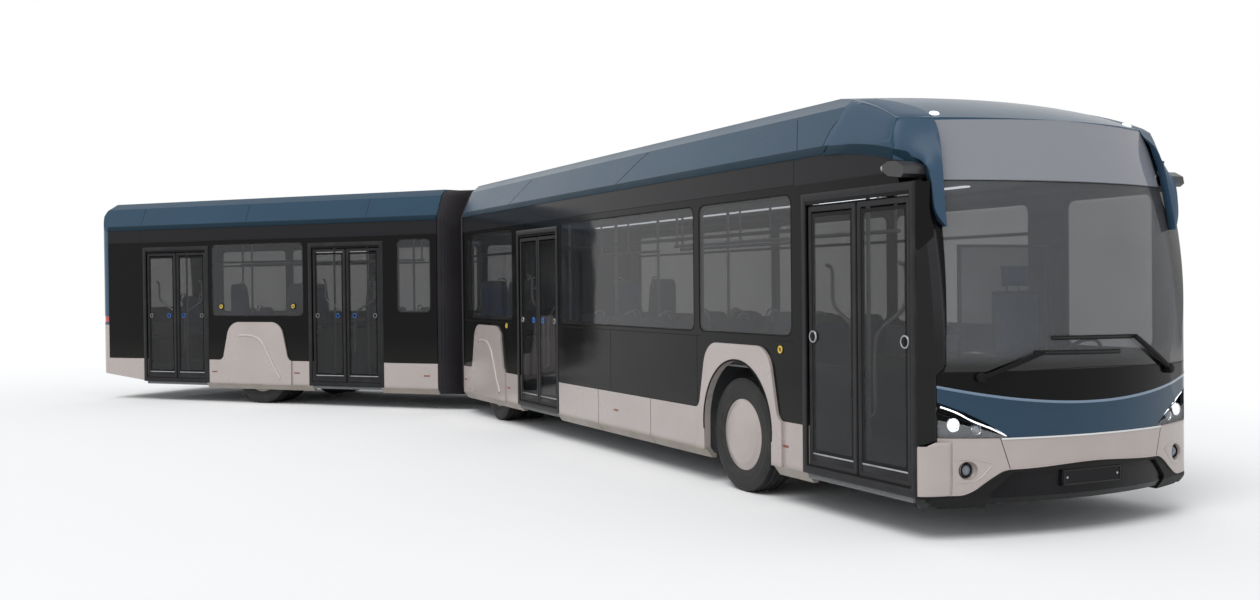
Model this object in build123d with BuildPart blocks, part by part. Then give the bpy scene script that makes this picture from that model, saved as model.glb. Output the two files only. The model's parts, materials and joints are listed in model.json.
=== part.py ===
"""An articulated low-floor city bus: a two-axle front section and a one-axle trailer,
joined by a turntable and a bellows. Millimetres, +X to the nose, +Y to the driver's side.

The front section is modelled with X counted from its front axle. The trailer is modelled
straight, with X counted from the turntable's pivot, and is turned about that pivot by BEND
when the pieces are placed. Everything is then shifted so that the origin lies on the ground
under the middle of the whole bus.
"""
from build123d import *
from math import cos, radians, sin
import os

# ---- driving dimensions -------------------------------------------------------------------
HALF_WIDTH = 1275        # half the body's width
WALL = 40                # thickness of walls, roof and panels
UNDERSIDE = 220          # lower edge of the skirts
FOLD = 300               # where the skirts turn in towards that edge
SKIRT_IN = 60            # how far they turn in
SKIRT_TOP = 660          # joint between skirt and wall
BELT = 1290              # sill line of the side glass
GLASS_TOP = 2430         # head line of the side glass
COWL = 2700              # where wall meets roof
SHOULDER = (1130, 3040)  # the cowl's upper crease: half width and height
ROOF_EDGE = (1030, 3130)
ROOF_TOP = 3170
FLOOR_TOP = 335
FLOOR_BOTTOM = 262
CEILING = 2560           # underside of the ceiling panel
CEILING_THICK = 30

PIVOT = -8215            # the turntable's axis, behind the front axle
BEND = 41                # how far the trailer is swung about it, in degrees
FRONT_END = -7410        # rear face of the front section
TRAILER_START = -790     # front face of the trailer, from the pivot
TRAILER_END = -7160
MIDDLE_AXLE = -6360
REAR_AXLE = -4010        # from the pivot

TYRE_R = 478.5           # 275/70 R 22.5
TYRE_WIDTH = 275
TYRE_STEPS = 48          # flats round a tyre, which keep all ten light
RIM_R = 298
TYRE_FACE = 1232         # outer face of the front tyres, from the centre line
TWIN_FACE = 1158         # outer face of the outer twin
TWIN_PITCH = 315         # between the twins' middles
KINGPIN = 1010           # steering axis, from the centre line
WELL_HALF = 610          # half length of a wheel well
WELL_TOP = 1060
FRONT_WELL_IN = 560      # inner wall of the steered wheels' wells
TWIN_WELL_IN = 440
ARCH_X = 30              # middle of the front wheel opening
ARCH_R = 550
PANEL_TOP = 1240         # top of the raised panels round the wheels

DOOR_BOTTOM = 352
DOOR_TOP = 2335
DOOR_THICK = 40
DOOR_Y = -1241           # middle plane of the leaves
DOOR_SWING = 85
LEAF_GAP = 12            # between the two leaves of a doorway
POST_GAP = 9             # between a leaf's rounded edge and its post
HINGE_IN = DOOR_THICK / 2 + POST_GAP     # from the edge of the doorway to a leaf's axis
PIN_R = 12
SILL_Y = -1264
DOOR_HEAD = 2410         # top of the door frame
POST_END = 2370          # front face of the post ahead of the front door
POST_IN = -1120          # how far in that post and the header over it reach
HEADER_LENGTH = 400      # of the header over the front door's end, behind the post

# Doorways: clear opening in X, in the frame of the section that carries them
DOORWAYS = {
    "door_1": ("front", 1062, 2312),
    "door_2": ("front", -5210, -4000),
    "door_3": ("trailer", -2960, -1750),
    "door_4": ("trailer", -6180, -4970),
}

NOSE_CENTRE = -300       # axis that the rounded nose is turned about
# Outline of the nose on the centre line: bumper, windscreen (an arc through three points), roof (an arc)
NOSE_LOW = [(2590, UNDERSIDE), (2655, FOLD), (2670, 440), (2666, 860)]
NOSE_SCREEN = [(2666, 860), (2618, 1860), (2365, 2870)]
NOSE_ROOF = [(2365, 2870), (1960, 3028), (1350, 3150)]
SCREEN_BOTTOM = 1140     # lower edge of the windscreen
SCREEN_TOP = 2850
SCREEN_HALF = 1105
BUMPER_TOP = 680
NOSE_BAND_X = 2150       # everything ahead of this belongs to the nose
NOSE_REAR = 2370         # where the side walls end below the windscreen's pillars
TAIL_REAR = -6970        # where the trailer's side walls end and the tail corner starts

THROUGH = (-1500, 1500)  # from one side of the bus to the other
TAIL_CORNER = 170        # radius of the trailer's rear corners, seen from above

os.makedirs("parts", exist_ok=True)


# ---- helpers ------------------------------------------------------------------------------
def block(x, y, z, mode=Mode.ADD):
    """A box between three (low, high) pairs."""
    with Locations(((x[0] + x[1]) / 2, (y[0] + y[1]) / 2, (z[0] + z[1]) / 2)):
        Box(x[1] - x[0], y[1] - y[0], z[1] - z[0], mode=mode)


def pole(start, end, radius=17, mode=Mode.ADD):
    """A round bar between two points."""
    start, end = Vector(start), Vector(end)
    with BuildSketch(Plane(origin=start, z_dir=end - start)) as ring:
        Circle(radius)
    extrude(ring.sketch, amount=(end - start).length, mode=mode)


def across(radius, x, z, y, mode=Mode.ADD):
    """A cylinder that lies across the bus, between y[0] and y[1]."""
    with BuildSketch(Plane.XZ.offset(-y[0])) as disc:
        with Locations((x, z)):
            Circle(radius)
    extrude(disc.sketch, amount=y[0] - y[1], mode=mode)


def side_prism(points, y, mode=Mode.ADD, radii=0):
    """A side-view outline (X, Z), carried from y[0] to y[1]; radii rounds its corners."""
    with BuildSketch(Plane.XZ.offset(-y[0])) as outline:
        with BuildLine():
            if radii:
                FilletPolyline(*points, radius=radii, close=True)
            else:
                Polyline(*points, close=True)
        make_face()
    extrude(outline.sketch, amount=y[0] - y[1], mode=mode)


def front_prism(points, x, mode=Mode.ADD):
    """A front-view outline (Y, Z), carried from x[0] to x[1]."""
    with BuildSketch(Plane.YZ.offset(x[0])) as outline:
        with BuildLine():
            Polyline(*points, close=True)
        make_face()
    extrude(outline.sketch, amount=x[1] - x[0], mode=mode)


def body_section(inset, x):
    """The body's cross-section at x, drawn in by inset."""
    half = [(HALF_WIDTH - SKIRT_IN, UNDERSIDE), (HALF_WIDTH, FOLD), (HALF_WIDTH, COWL), SHOULDER,
            ROOF_EDGE, (0, ROOF_TOP)]
    with BuildSketch(Plane.YZ.offset(x)) as section:
        with BuildLine():
            Polyline(*half, *[(-y, z) for y, z in half[-2::-1]], close=True)
        make_face()
        if inset:
            offset(amount=-inset, kind=Kind.INTERSECTION)
    return section.sketch


def front_hull(inset):
    """The front section as one closed form, drawn in by inset; open behind when drawn in."""
    rear = FRONT_END - (100 if inset else 0)
    low, screen, roof = [[(x - inset, z - inset / 2) for x, z in points]
                         for points in (NOSE_LOW, NOSE_SCREEN, NOSE_ROOF)]
    floor = UNDERSIDE + inset
    side = HALF_WIDTH - inset
    with BuildPart() as hull:
        extrude(body_section(inset, NOSE_CENTRE), amount=3200)
        with BuildSketch(Plane.XZ) as profile:
            with BuildLine():
                Polyline((NOSE_CENTRE, 3400), (NOSE_CENTRE, floor - 100), (low[0][0], floor - 100), *low)
                ThreePointArc(*screen)
                ThreePointArc(*roof)
                Polyline(roof[-1], (roof[-1][0] - 650, 3210), (roof[-1][0] - 650, 3400), (NOSE_CENTRE, 3400))
            make_face()
        revolve(profile.sketch, axis=Axis((NOSE_CENTRE, 0, 0), (0, 0, 1)), mode=Mode.INTERSECT)
        with BuildSketch(Plane.XY) as plan:
            with BuildLine():
                FilletPolyline((NOSE_CENTRE - 10, -side), (2385 - inset, -side), (2880 - inset, 0),
                               (2385 - inset, side), (NOSE_CENTRE - 10, side),
                               radius=(300 - inset, 40, 300 - inset))
                Line((NOSE_CENTRE - 10, side), (NOSE_CENTRE - 10, -side))
            make_face()
        extrude(plan.sketch, amount=3400, mode=Mode.INTERSECT)
        extrude(body_section(inset, NOSE_CENTRE), amount=rear - NOSE_CENTRE)
    return hull.part


def trailer_hull(inset):
    """The trailer as one closed form, drawn in by inset; open in front when drawn in."""
    start = TRAILER_START + (100 if inset else 0)
    end = TRAILER_END + inset
    low, high = UNDERSIDE + inset, 3300 - inset
    side = HALF_WIDTH - inset
    corner = TAIL_CORNER - inset
    with BuildPart() as hull:
        extrude(body_section(inset, start), amount=end - start)
        side_prism([(start, low - 50), (-5440, low - 50), (-5440, low), (end, low + 205), (end, 2900 - inset),
                    (end + 40, 3010 - inset), (end + 330, high), (start, high)], THROUGH, Mode.INTERSECT)
        with BuildSketch(Plane.XY) as plan:
            with BuildLine():
                FilletPolyline((start + 10, -side), (end, -side), (end, side), (start + 10, side),
                               radius=(corner, corner))
                Line((start + 10, side), (start + 10, -side))
            make_face()
        extrude(plan.sketch, amount=3400, mode=Mode.INTERSECT)
    return hull.part


def window(x, z, y, mode=Mode.ADD, radius=70):
    """A rounded upright rectangle between (low, high) pairs, carried from y[0] to y[1]."""
    with BuildSketch(Plane.XZ.offset(-y[0])) as outline:
        with Locations(((x[0] + x[1]) / 2, (z[0] + z[1]) / 2)):
            RectangleRounded(x[1] - x[0], z[1] - z[0], radius)
    extrude(outline.sketch, amount=y[0] - y[1], mode=mode)


def arch_panel(x, side, half, mode=Mode.ADD, stand=22):
    """The raised panel round a wheel, on the wall of the given side (-1 right, +1 left)."""
    y = sorted((side * (HALF_WIDTH - WALL), side * (HALF_WIDTH + stand)))
    foot = half + 60
    brow = half - 130
    points = [(x - foot, FOLD), (x - foot, SKIRT_TOP), (x - half, SKIRT_TOP + 25), (x - brow, PANEL_TOP),
              (x + brow, PANEL_TOP), (x + half, SKIRT_TOP + 25), (x + foot, SKIRT_TOP), (x + foot, FOLD)]
    with BuildSketch(Plane.XZ.offset(-y[0])) as outline:
        with BuildLine():
            FilletPolyline(*points, radius=(6, 90, 230, 230, 90, 6))
            Line(points[-1], points[0])
        make_face()
    extrude(outline.sketch, amount=y[0] - y[1], mode=mode)


def wheel_opening(side, mode=Mode.SUBTRACT):
    """The opening of a front wheel arch."""
    y = sorted((side * (HALF_WIDTH - 4 * WALL), side * (HALF_WIDTH + 100)))
    across(ARCH_R, ARCH_X, ARCH_R, y, mode=mode)
    block((ARCH_X - ARCH_R, ARCH_X + ARCH_R), y, (0, ARCH_R), mode=mode)


pieces = {}              # name: (builder, section that carries it)
FRONT_OUT, FRONT_IN = front_hull(0), front_hull(WALL)
TRAILER_OUT, TRAILER_IN = trailer_hull(0), trailer_hull(WALL)
RIGHT_WALL = (-HALF_WIDTH, WALL - HALF_WIDTH)
LEFT_WALL = (HALF_WIDTH - WALL, HALF_WIDTH)

# Cowl line of the front section's side view: it falls towards the windscreen's pillars
FRONT_COWL_LINE = [(900, COWL), (1600, 2672), (2100, 2590), (2310, 2520), (2390, 2080)]

# ---- roofs --------------------------------------------------------------------------------
with BuildPart() as roof_front:
    add(FRONT_OUT)
    add(FRONT_IN, mode=Mode.SUBTRACT)
    side_prism([(FRONT_END - 200, COWL), *FRONT_COWL_LINE, (2800, 2080), (2800, 3400),
                (FRONT_END - 200, 3400)], THROUGH, Mode.INTERSECT)
    front_prism([(-SCREEN_HALF, SCREEN_BOTTOM), (-SCREEN_HALF + 90, SCREEN_TOP), (0, SCREEN_TOP + 20),
                 (SCREEN_HALF - 90, SCREEN_TOP), (SCREEN_HALF, SCREEN_BOTTOM)],
                (NOSE_BAND_X, 2900), Mode.SUBTRACT)
pieces["roof_front"] = (roof_front, "front")

with BuildPart() as roof_rear:
    add(TRAILER_OUT)
    add(TRAILER_IN, mode=Mode.SUBTRACT)
    side_prism([(TRAILER_START + 200, COWL), (TRAILER_END - 100, COWL), (TRAILER_END - 100, 3400),
                (TRAILER_START + 200, 3400)], THROUGH, Mode.INTERSECT)
pieces["roof_rear"] = (roof_rear, "trailer")

# ---- ceilings, with the heavy battery packs lying on them -----------------------------------
CEILING_SPAN = (-HALF_WIDTH + WALL, HALF_WIDTH - WALL)
PACK_TOP = 2950
with BuildPart() as ceiling_front:
    block((FRONT_END, 2050), CEILING_SPAN, (CEILING, CEILING + CEILING_THICK))
pieces["ceiling_front"] = (ceiling_front, "front")
with BuildPart() as ceiling_rear:
    block((TAIL_REAR, TRAILER_START), CEILING_SPAN, (CEILING, CEILING + CEILING_THICK))
pieces["ceiling_rear"] = (ceiling_rear, "trailer")
with BuildPart() as battery_front:
    block((-6200, 600), (-850, 850), (CEILING + CEILING_THICK, PACK_TOP))
pieces["battery_front"] = (battery_front, "front")
with BuildPart() as battery_rear:
    block((-6500, -1500), (-850, 850), (CEILING + CEILING_THICK, PACK_TOP))
pieces["battery_rear"] = (battery_rear, "trailer")

# ---- side windows ---------------------------------------------------------------------------
WINDOW_Z = (BELT + 40, GLASS_TOP)
# section, side, first x, last x, sill height
WINDOWS = [
    ("front", -1, -7050, -5440, WINDOW_Z[0]),
    ("front", -1, -3870, -730, WINDOW_Z[0]),
    ("front", -1, -630, 860, WINDOW_Z[0]),
    ("front", 1, -7050, -5300, WINDOW_Z[0]),
    ("front", 1, -5200, -3450, WINDOW_Z[0]),
    ("front", 1, -3350, -1250, WINDOW_Z[0]),
    ("front", 1, -1150, 750, WINDOW_Z[0]),
    ("front", 1, 1150, 2080, WINDOW_Z[0] - 150),
    ("trailer", -1, -1460, -890, WINDOW_Z[0] + 50),
    ("trailer", -1, -4850, -3110, WINDOW_Z[0]),
    ("trailer", 1, -1460, -890, WINDOW_Z[0] + 50),
    ("trailer", 1, -3600, -1600, WINDOW_Z[0]),
    ("trailer", 1, -5350, -3700, WINDOW_Z[0]),
    ("trailer", 1, -6900, -5450, WINDOW_Z[0]),
]


def cut_windows(section):
    for carrier, side, first, last, sill in WINDOWS:
        if carrier == section:
            wall = sorted((side * (HALF_WIDTH - 2 * WALL), side * (HALF_WIDTH + WALL)))
            window((first, last), (sill, GLASS_TOP), wall, Mode.SUBTRACT)


def cut_doorways(section):
    for carrier, first, last in DOORWAYS.values():
        if carrier == section:
            block((first, last), (-1400, -1000), (UNDERSIDE - 100, DOOR_TOP), Mode.SUBTRACT)


def hinge_brackets(section):
    """Bearings in the door headers for the leaves' upper pins."""
    for carrier, first, last in DOORWAYS.values():
        if carrier == section:
            for x in (first + HINGE_IN, last - HINGE_IN):
                block((x - 45, x + 45), (WALL / 2 - HALF_WIDTH, DOOR_Y + 40), (DOOR_TOP, DOOR_TOP + 50))
                with Locations((x, DOOR_Y, DOOR_TOP + 25)):
                    Cylinder(PIN_R + 0.3, 60, mode=Mode.SUBTRACT)


with BuildPart() as windows_front:
    for carrier, side, first, last, sill in WINDOWS:
        if carrier == "front":
            pane = sorted((side * (HALF_WIDTH - 4), side * (HALF_WIDTH - 12)))
            window((first, last), (sill, GLASS_TOP), pane)
pieces["windows_front"] = (windows_front, "front")
with BuildPart() as windows_rear:
    for carrier, side, first, last, sill in WINDOWS:
        if carrier == "trailer":
            pane = sorted((side * (HALF_WIDTH - 4), side * (HALF_WIDTH - 12)))
            window((first, last), (sill, GLASS_TOP), pane)
pieces["windows_rear"] = (windows_rear, "trailer")

# ---- walls between skirts and cowl ------------------------------------------------------------
SCREEN_OUTLINE = [(-SCREEN_HALF, SCREEN_BOTTOM), (SCREEN_HALF, SCREEN_BOTTOM),
                  (SCREEN_HALF - 90, SCREEN_TOP), (0, SCREEN_TOP + 20), (-SCREEN_HALF + 90, SCREEN_TOP)]
with BuildPart() as walls_front:
    add(FRONT_OUT)
    add(FRONT_IN, mode=Mode.SUBTRACT)
    side_prism([(FRONT_END - 200, COWL), *FRONT_COWL_LINE, (2800, 2080), (2800, SKIRT_TOP),
                (FRONT_END - 200, SKIRT_TOP)], THROUGH, Mode.INTERSECT)
    front_prism(SCREEN_OUTLINE, (NOSE_BAND_X, 2900), Mode.SUBTRACT)
    block((NOSE_REAR, 2900), THROUGH, (0, SCREEN_BOTTOM), Mode.SUBTRACT)
    for x, half in ((ARCH_X, 640), (MIDDLE_AXLE, 615)):
        for side in (-1, 1):
            arch_panel(x, side, half, Mode.SUBTRACT)
    cut_windows("front")
    cut_doorways("front")
    hinge_brackets("front")
    first_door_end = DOORWAYS["door_1"][2]
    for x, z in (((first_door_end, POST_END), (SKIRT_TOP, DOOR_HEAD)),
                 ((first_door_end - HEADER_LENGTH, POST_END), (DOOR_TOP, DOOR_HEAD))):
        block(x, (-HALF_WIDTH, POST_IN), z)
    with Locations((first_door_end - HINGE_IN, DOOR_Y, DOOR_TOP + 25)):
        Cylinder(PIN_R + 0.3, 60, mode=Mode.SUBTRACT)
pieces["walls_front"] = (walls_front, "front")

with BuildPart() as walls_rear:
    add(TRAILER_OUT)
    add(TRAILER_IN, mode=Mode.SUBTRACT)
    side_prism([(TRAILER_START + 200, COWL), (TAIL_REAR, COWL), (TAIL_REAR, SKIRT_TOP),
                (TRAILER_START + 200, SKIRT_TOP)], THROUGH, Mode.INTERSECT)
    for side in (-1, 1):
        arch_panel(REAR_AXLE, side, 615, Mode.SUBTRACT)
    cut_windows("trailer")
    cut_doorways("trailer")
    hinge_brackets("trailer")
pieces["walls_rear"] = (walls_rear, "trailer")

REAR_WINDOW = (800, 1450, 2300)      # half width, sill, head
TAIL_LAMP = (1235, 1325)             # lower and upper edge of the corner lamps
with BuildPart() as tail_panel:
    add(TRAILER_OUT)
    add(TRAILER_IN, mode=Mode.SUBTRACT)
    side_prism([(TAIL_REAR, COWL), (TRAILER_END - 100, COWL), (TRAILER_END - 100, 0), (TAIL_REAR, 0)],
               THROUGH, Mode.INTERSECT)
    half, sill, head = REAR_WINDOW
    front_prism([(-half, sill), (half, sill), (half - 60, head), (60 - half, head)],
                (TRAILER_END - 100, TAIL_REAR), Mode.SUBTRACT)
    for side in (-1, 1):
        block((TRAILER_END - 100, TAIL_REAR), sorted((side * 1000, side * 1400)), TAIL_LAMP, Mode.SUBTRACT)
pieces["tail_panel"] = (tail_panel, "trailer")
with BuildPart() as rear_window:
    add(TRAILER_OUT)
    add(TRAILER_IN, mode=Mode.SUBTRACT)
    front_prism([(-half, sill), (half, sill), (half - 60, head), (60 - half, head)],
                (TRAILER_END - 100, TAIL_REAR), Mode.INTERSECT)
pieces["rear_window"] = (rear_window, "trailer")

# ---- windscreen, nose panel and bumper ----------------------------------------------------------
with BuildPart() as windscreen:
    add(FRONT_OUT)
    add(front_hull(14), mode=Mode.SUBTRACT)
    front_prism(SCREEN_OUTLINE, (NOSE_BAND_X, 2900), Mode.INTERSECT)
pieces["windscreen"] = (windscreen, "front")

# near end, far end and lower edge of a headlamp, in front view
LAMP_OUTLINE = [(660, 690), (1150, 700), (1150, 940), (980, 872), (850, 805), (760, 750)]
with BuildPart() as nose_panel:
    add(FRONT_OUT)
    add(FRONT_IN, mode=Mode.SUBTRACT)
    block((NOSE_REAR, 2900), THROUGH, (BUMPER_TOP, SCREEN_BOTTOM), Mode.INTERSECT)
    for side in (-1, 1):
        front_prism([(side * y, z) for y, z in LAMP_OUTLINE], (NOSE_BAND_X, 2900), Mode.SUBTRACT)
pieces["nose_panel"] = (nose_panel, "front")

with BuildPart() as headlamps:
    add(front_hull(3))
    add(FRONT_IN, mode=Mode.SUBTRACT)
    with BuildPart(mode=Mode.INTERSECT):
        for side in (-1, 1):
            front_prism([(side * y, z) for y, z in LAMP_OUTLINE], (NOSE_REAR, 2900))
pieces["headlamps"] = (headlamps, "front")

BUMPER_LOW = 462         # lower edge of the bumper's middle panel
FOG = (960, 482, 62)     # across, height, radius of a fog lamp's recess
with BuildPart() as bumper:
    add(FRONT_OUT)
    add(FRONT_IN, mode=Mode.SUBTRACT)
    block((NOSE_REAR, 2900), THROUGH, (0, BUMPER_TOP), Mode.INTERSECT)
    front_prism([(-800, 0), (800, 0), (800, 330), (655, BUMPER_LOW), (-655, BUMPER_LOW), (-800, 330)],
                (NOSE_BAND_X, 2900), Mode.SUBTRACT)
    for side in (-1, 1):
        with BuildSketch(Plane.YZ.offset(NOSE_REAR)) as recess:
            with Locations((side * FOG[0], FOG[1])):
                Circle(FOG[2])
        extrude(recess.sketch, amount=400, mode=Mode.SUBTRACT)
pieces["bumper"] = (bumper, "front")

PLATE = (275, 345, 458)  # half width, lower and upper edge of the plate's box
PLATE_FACE = 2652
PLATE_SCREW_Y, PLATE_SCREW_R = 230, 3.3
with BuildPart() as spoiler:
    add(front_hull(25))
    add(front_hull(25 + WALL), mode=Mode.SUBTRACT)
    front_prism([(-800, 240), (800, 240), (800, 330), (655, BUMPER_LOW), (-655, BUMPER_LOW), (-800, 330)],
                (NOSE_REAR, 2900), Mode.INTERSECT)
    block((PLATE_FACE - 70, PLATE_FACE), (-PLATE[0], PLATE[0]), PLATE[1:])
    for y in (-PLATE_SCREW_Y, PLATE_SCREW_Y):
        with BuildSketch(Plane.YZ.offset(PLATE_FACE)) as screw:
            with Locations((y, (PLATE[1] + PLATE[2]) / 2)):
                Circle(PLATE_SCREW_R)
        extrude(screw.sketch, amount=-25, mode=Mode.SUBTRACT)
pieces["spoiler"] = (spoiler, "front")

JAW = ((NOSE_REAR - 10, 2560), (-70, 70), (292, 376))     # the towing jaw
JAW_SLOT = (320, 348)
TOW_PIN = (2515, 20.3)   # how far ahead of the front axle, radius of the bore
with BuildPart() as tow_jaw:
    block(*JAW)
    block((2450, 2600), (-80, 80), JAW_SLOT, Mode.SUBTRACT)
    with Locations((TOW_PIN[0], 0, FLOOR_TOP)):
        Cylinder(TOW_PIN[1], 200, mode=Mode.SUBTRACT)
pieces["tow_jaw"] = (tow_jaw, "front")


def on_nose(y, z, lift):
    """A point that stands off the windscreen by lift, at y across and z up."""
    face = NOSE_SCREEN[0][0] + (NOSE_SCREEN[1][0] - NOSE_SCREEN[0][0]) * (
        (z - NOSE_SCREEN[0][1]) / (NOSE_SCREEN[1][1] - NOSE_SCREEN[0][1])) ** 2
    reach = face - NOSE_CENTRE
    return (NOSE_CENTRE + (reach ** 2 - y ** 2) ** 0.5 + lift, y, z)


# Points of each wiper (y, z): its pivot, its elbow, and the ends of its blade
WIPERS = [((-880, 1100), (-440, 1262), (-500, 1258), (250, 1246)),
          ((830, 1100), (390, 1348), (430, 1346), (-360, 1354))]
WIPER_LIFT, WIPER_R = 26, 9
with BuildPart() as wipers:
    for pivot, elbow, *blade in WIPERS:
        pole(on_nose(*pivot, -20), on_nose(*pivot, WIPER_LIFT + 12), 24)
        pole(on_nose(*pivot, WIPER_LIFT), on_nose(*elbow, WIPER_LIFT), WIPER_R)
        bits = 6
        stops = [tuple(a + (b - a) * bit / bits for a, b in zip(*blade)) for bit in range(bits + 1)]
        for here, there in zip(stops, stops[1:]):
            pole(on_nose(*here, WIPER_R + 4), on_nose(*there, WIPER_R + 4), WIPER_R)
        pole(on_nose(*elbow, WIPER_R), on_nose(*elbow, WIPER_LIFT + WIPER_R), WIPER_R)
    add(FRONT_OUT, mode=Mode.SUBTRACT)
pieces["wipers"] = (wipers, "front")

# ---- skirts, with the raised panels round the wheels ------------------------------------------------
with BuildPart() as skirts_front:
    add(FRONT_OUT)
    add(FRONT_IN, mode=Mode.SUBTRACT)
    block((FRONT_END - 200, NOSE_REAR), THROUGH, (0, SKIRT_TOP), Mode.INTERSECT)
    block((FRONT_END - 200, NOSE_REAR), (WALL + SKIRT_IN - HALF_WIDTH, HALF_WIDTH - WALL - SKIRT_IN),
          (0, SKIRT_TOP), Mode.SUBTRACT)
    for x, half in ((ARCH_X, 640), (MIDDLE_AXLE, 615)):
        for side in (-1, 1):
            arch_panel(x, side, half)
    for side in (-1, 1):
        wheel_opening(side)
    cut_doorways("front")
pieces["skirts_front"] = (skirts_front, "front")

with BuildPart() as skirts_rear:
    add(TRAILER_OUT)
    add(TRAILER_IN, mode=Mode.SUBTRACT)
    block((TAIL_REAR, 0), THROUGH, (0, SKIRT_TOP), Mode.INTERSECT)
    block((TAIL_REAR, 0), (WALL + SKIRT_IN - HALF_WIDTH, HALF_WIDTH - WALL - SKIRT_IN),
          (0, SKIRT_TOP), Mode.SUBTRACT)
    for side in (-1, 1):
        arch_panel(REAR_AXLE, side, 615)
    cut_doorways("trailer")
pieces["skirts_rear"] = (skirts_rear, "trailer")

# ---- floors, with the wheel boxes -----------------------------------------------------------------
FLOOR_HALF = HALF_WIDTH - WALL
BOX_WALL = 15


def wheel_box(x, side, inner, mode=Mode.ADD):
    """The box over a wheel well, open towards the skirt and the ground."""
    y = sorted((side * inner, side * FLOOR_HALF))
    block((x - WELL_HALF, x + WELL_HALF), y, (FLOOR_BOTTOM, WELL_TOP), mode=mode)
    inside = sorted((side * (inner + BOX_WALL), side * (FLOOR_HALF + 300)))
    block((x - WELL_HALF + BOX_WALL, x + WELL_HALF - BOX_WALL), inside,
          (0, WELL_TOP - BOX_WALL), Mode.SUBTRACT)


def door_sills(section):
    """The floor's edge in the doorways, with a bore for each leaf's lower pin."""
    for carrier, first, last in DOORWAYS.values():
        if carrier == section:
            block((first, last), (SILL_Y, -FLOOR_HALF), (FLOOR_BOTTOM, FLOOR_TOP))
            for x in (first + HINGE_IN, last - HINGE_IN):
                with Locations((x, DOOR_Y, (FLOOR_BOTTOM + FLOOR_TOP) / 2)):
                    Cylinder(PIN_R + 0.3, FLOOR_TOP, mode=Mode.SUBTRACT)


with BuildPart() as floor_front:
    block((FRONT_END, NOSE_REAR - 10), (-FLOOR_HALF, FLOOR_HALF), (FLOOR_BOTTOM, FLOOR_TOP))
    for side in (-1, 1):
        wheel_box(0, side, FRONT_WELL_IN)
        wheel_box(MIDDLE_AXLE, side, TWIN_WELL_IN)
    add(FRONT_IN, mode=Mode.INTERSECT)
    door_sills("front")
pieces["floor_front"] = (floor_front, "front")

with BuildPart() as floor_rear:
    block((TRAILER_END + 60, TRAILER_START), (-FLOOR_HALF, FLOOR_HALF), (FLOOR_BOTTOM, FLOOR_TOP))
    for side in (-1, 1):
        wheel_box(REAR_AXLE, side, TWIN_WELL_IN)
    block((TRAILER_END + 60, -6300), (-FLOOR_HALF, FLOOR_HALF), (FLOOR_BOTTOM, 480), Mode.SUBTRACT)
    block((TRAILER_END + 60, -6300 + BOX_WALL), (-FLOOR_HALF, FLOOR_HALF), (480, 540))
    block((-6300, -6300 + BOX_WALL), (-FLOOR_HALF, FLOOR_HALF), (FLOOR_BOTTOM, 540))
    add(TRAILER_IN, mode=Mode.INTERSECT)
    door_sills("trailer")
pieces["floor_rear"] = (floor_rear, "trailer")

# ---- doors ------------------------------------------------------------------------------------------
LEAF_FRAME = 46
PANE_THICK = 8
BUTTON_HEIGHT = 1335
leaves = {}              # name: (section, hinge x, swing sign)


def door_leaf(hinge_x, edge_x):
    """A leaf from its post to the middle of the doorway; its edge at the post is round."""
    way = 1 if edge_x > hinge_x else -1
    radius = DOOR_THICK / 2
    y = (DOOR_Y - radius, DOOR_Y + radius)
    with BuildPart() as leaf:
        block(sorted((hinge_x, edge_x)), y, (DOOR_BOTTOM, DOOR_TOP - 12))
        with Locations((hinge_x, DOOR_Y, (DOOR_BOTTOM + DOOR_TOP - 12) / 2)):
            Cylinder(radius, DOOR_TOP - 12 - DOOR_BOTTOM)
        pole((hinge_x, DOOR_Y, FLOOR_BOTTOM + 10), (hinge_x, DOOR_Y, DOOR_TOP + 45), PIN_R)
        glazed = sorted((hinge_x + way * LEAF_FRAME, edge_x - way * LEAF_FRAME))
        window(glazed, (DOOR_BOTTOM + 60, DOOR_TOP - 75), (y[0] - 1, y[0] + 4), Mode.SUBTRACT, 20)
        window(glazed, (DOOR_BOTTOM + 60, DOOR_TOP - 75), (y[0] + 4 + PANE_THICK, y[1] + 1),
               Mode.SUBTRACT, 20)
    return leaf


for doorway, (carrier, first, last) in DOORWAYS.items():
    middle = (first + last) / 2
    for suffix, hinge_x, edge_x, swing in (("rear_leaf", first + HINGE_IN, middle - LEAF_GAP / 2, 1),
                                           ("front_leaf", last - HINGE_IN, middle + LEAF_GAP / 2, -1)):
        leaves[f"{doorway}_{suffix}"] = (carrier, hinge_x, swing)
        pieces[f"{doorway}_{suffix}"] = (door_leaf(hinge_x, edge_x), carrier)

# ---- wheels -------------------------------------------------------------------------------------------
STUB_R = 45              # wheel spindles
HUB_BORE = STUB_R + 0.3
HUB_R = 120
TREAD_MIDDLE = TYRE_WIDTH / 2


SHOULDER_DROP, SHOULDER_IN = 38, 32      # from the tread's edge to the sidewall
BEAD_GAP = 0.3           # between the tyre's bore and the rim


def tyre_ring(radius, y):
    """One edge of a tyre: a regular outline with a flat below, at y across the bus."""
    with BuildSketch(Plane.XZ.offset(-y)) as ring:
        RegularPolygon(radius, TYRE_STEPS, major_radius=False, rotation=180 / TYRE_STEPS)
    return ring.sketch.faces()[0]


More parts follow.
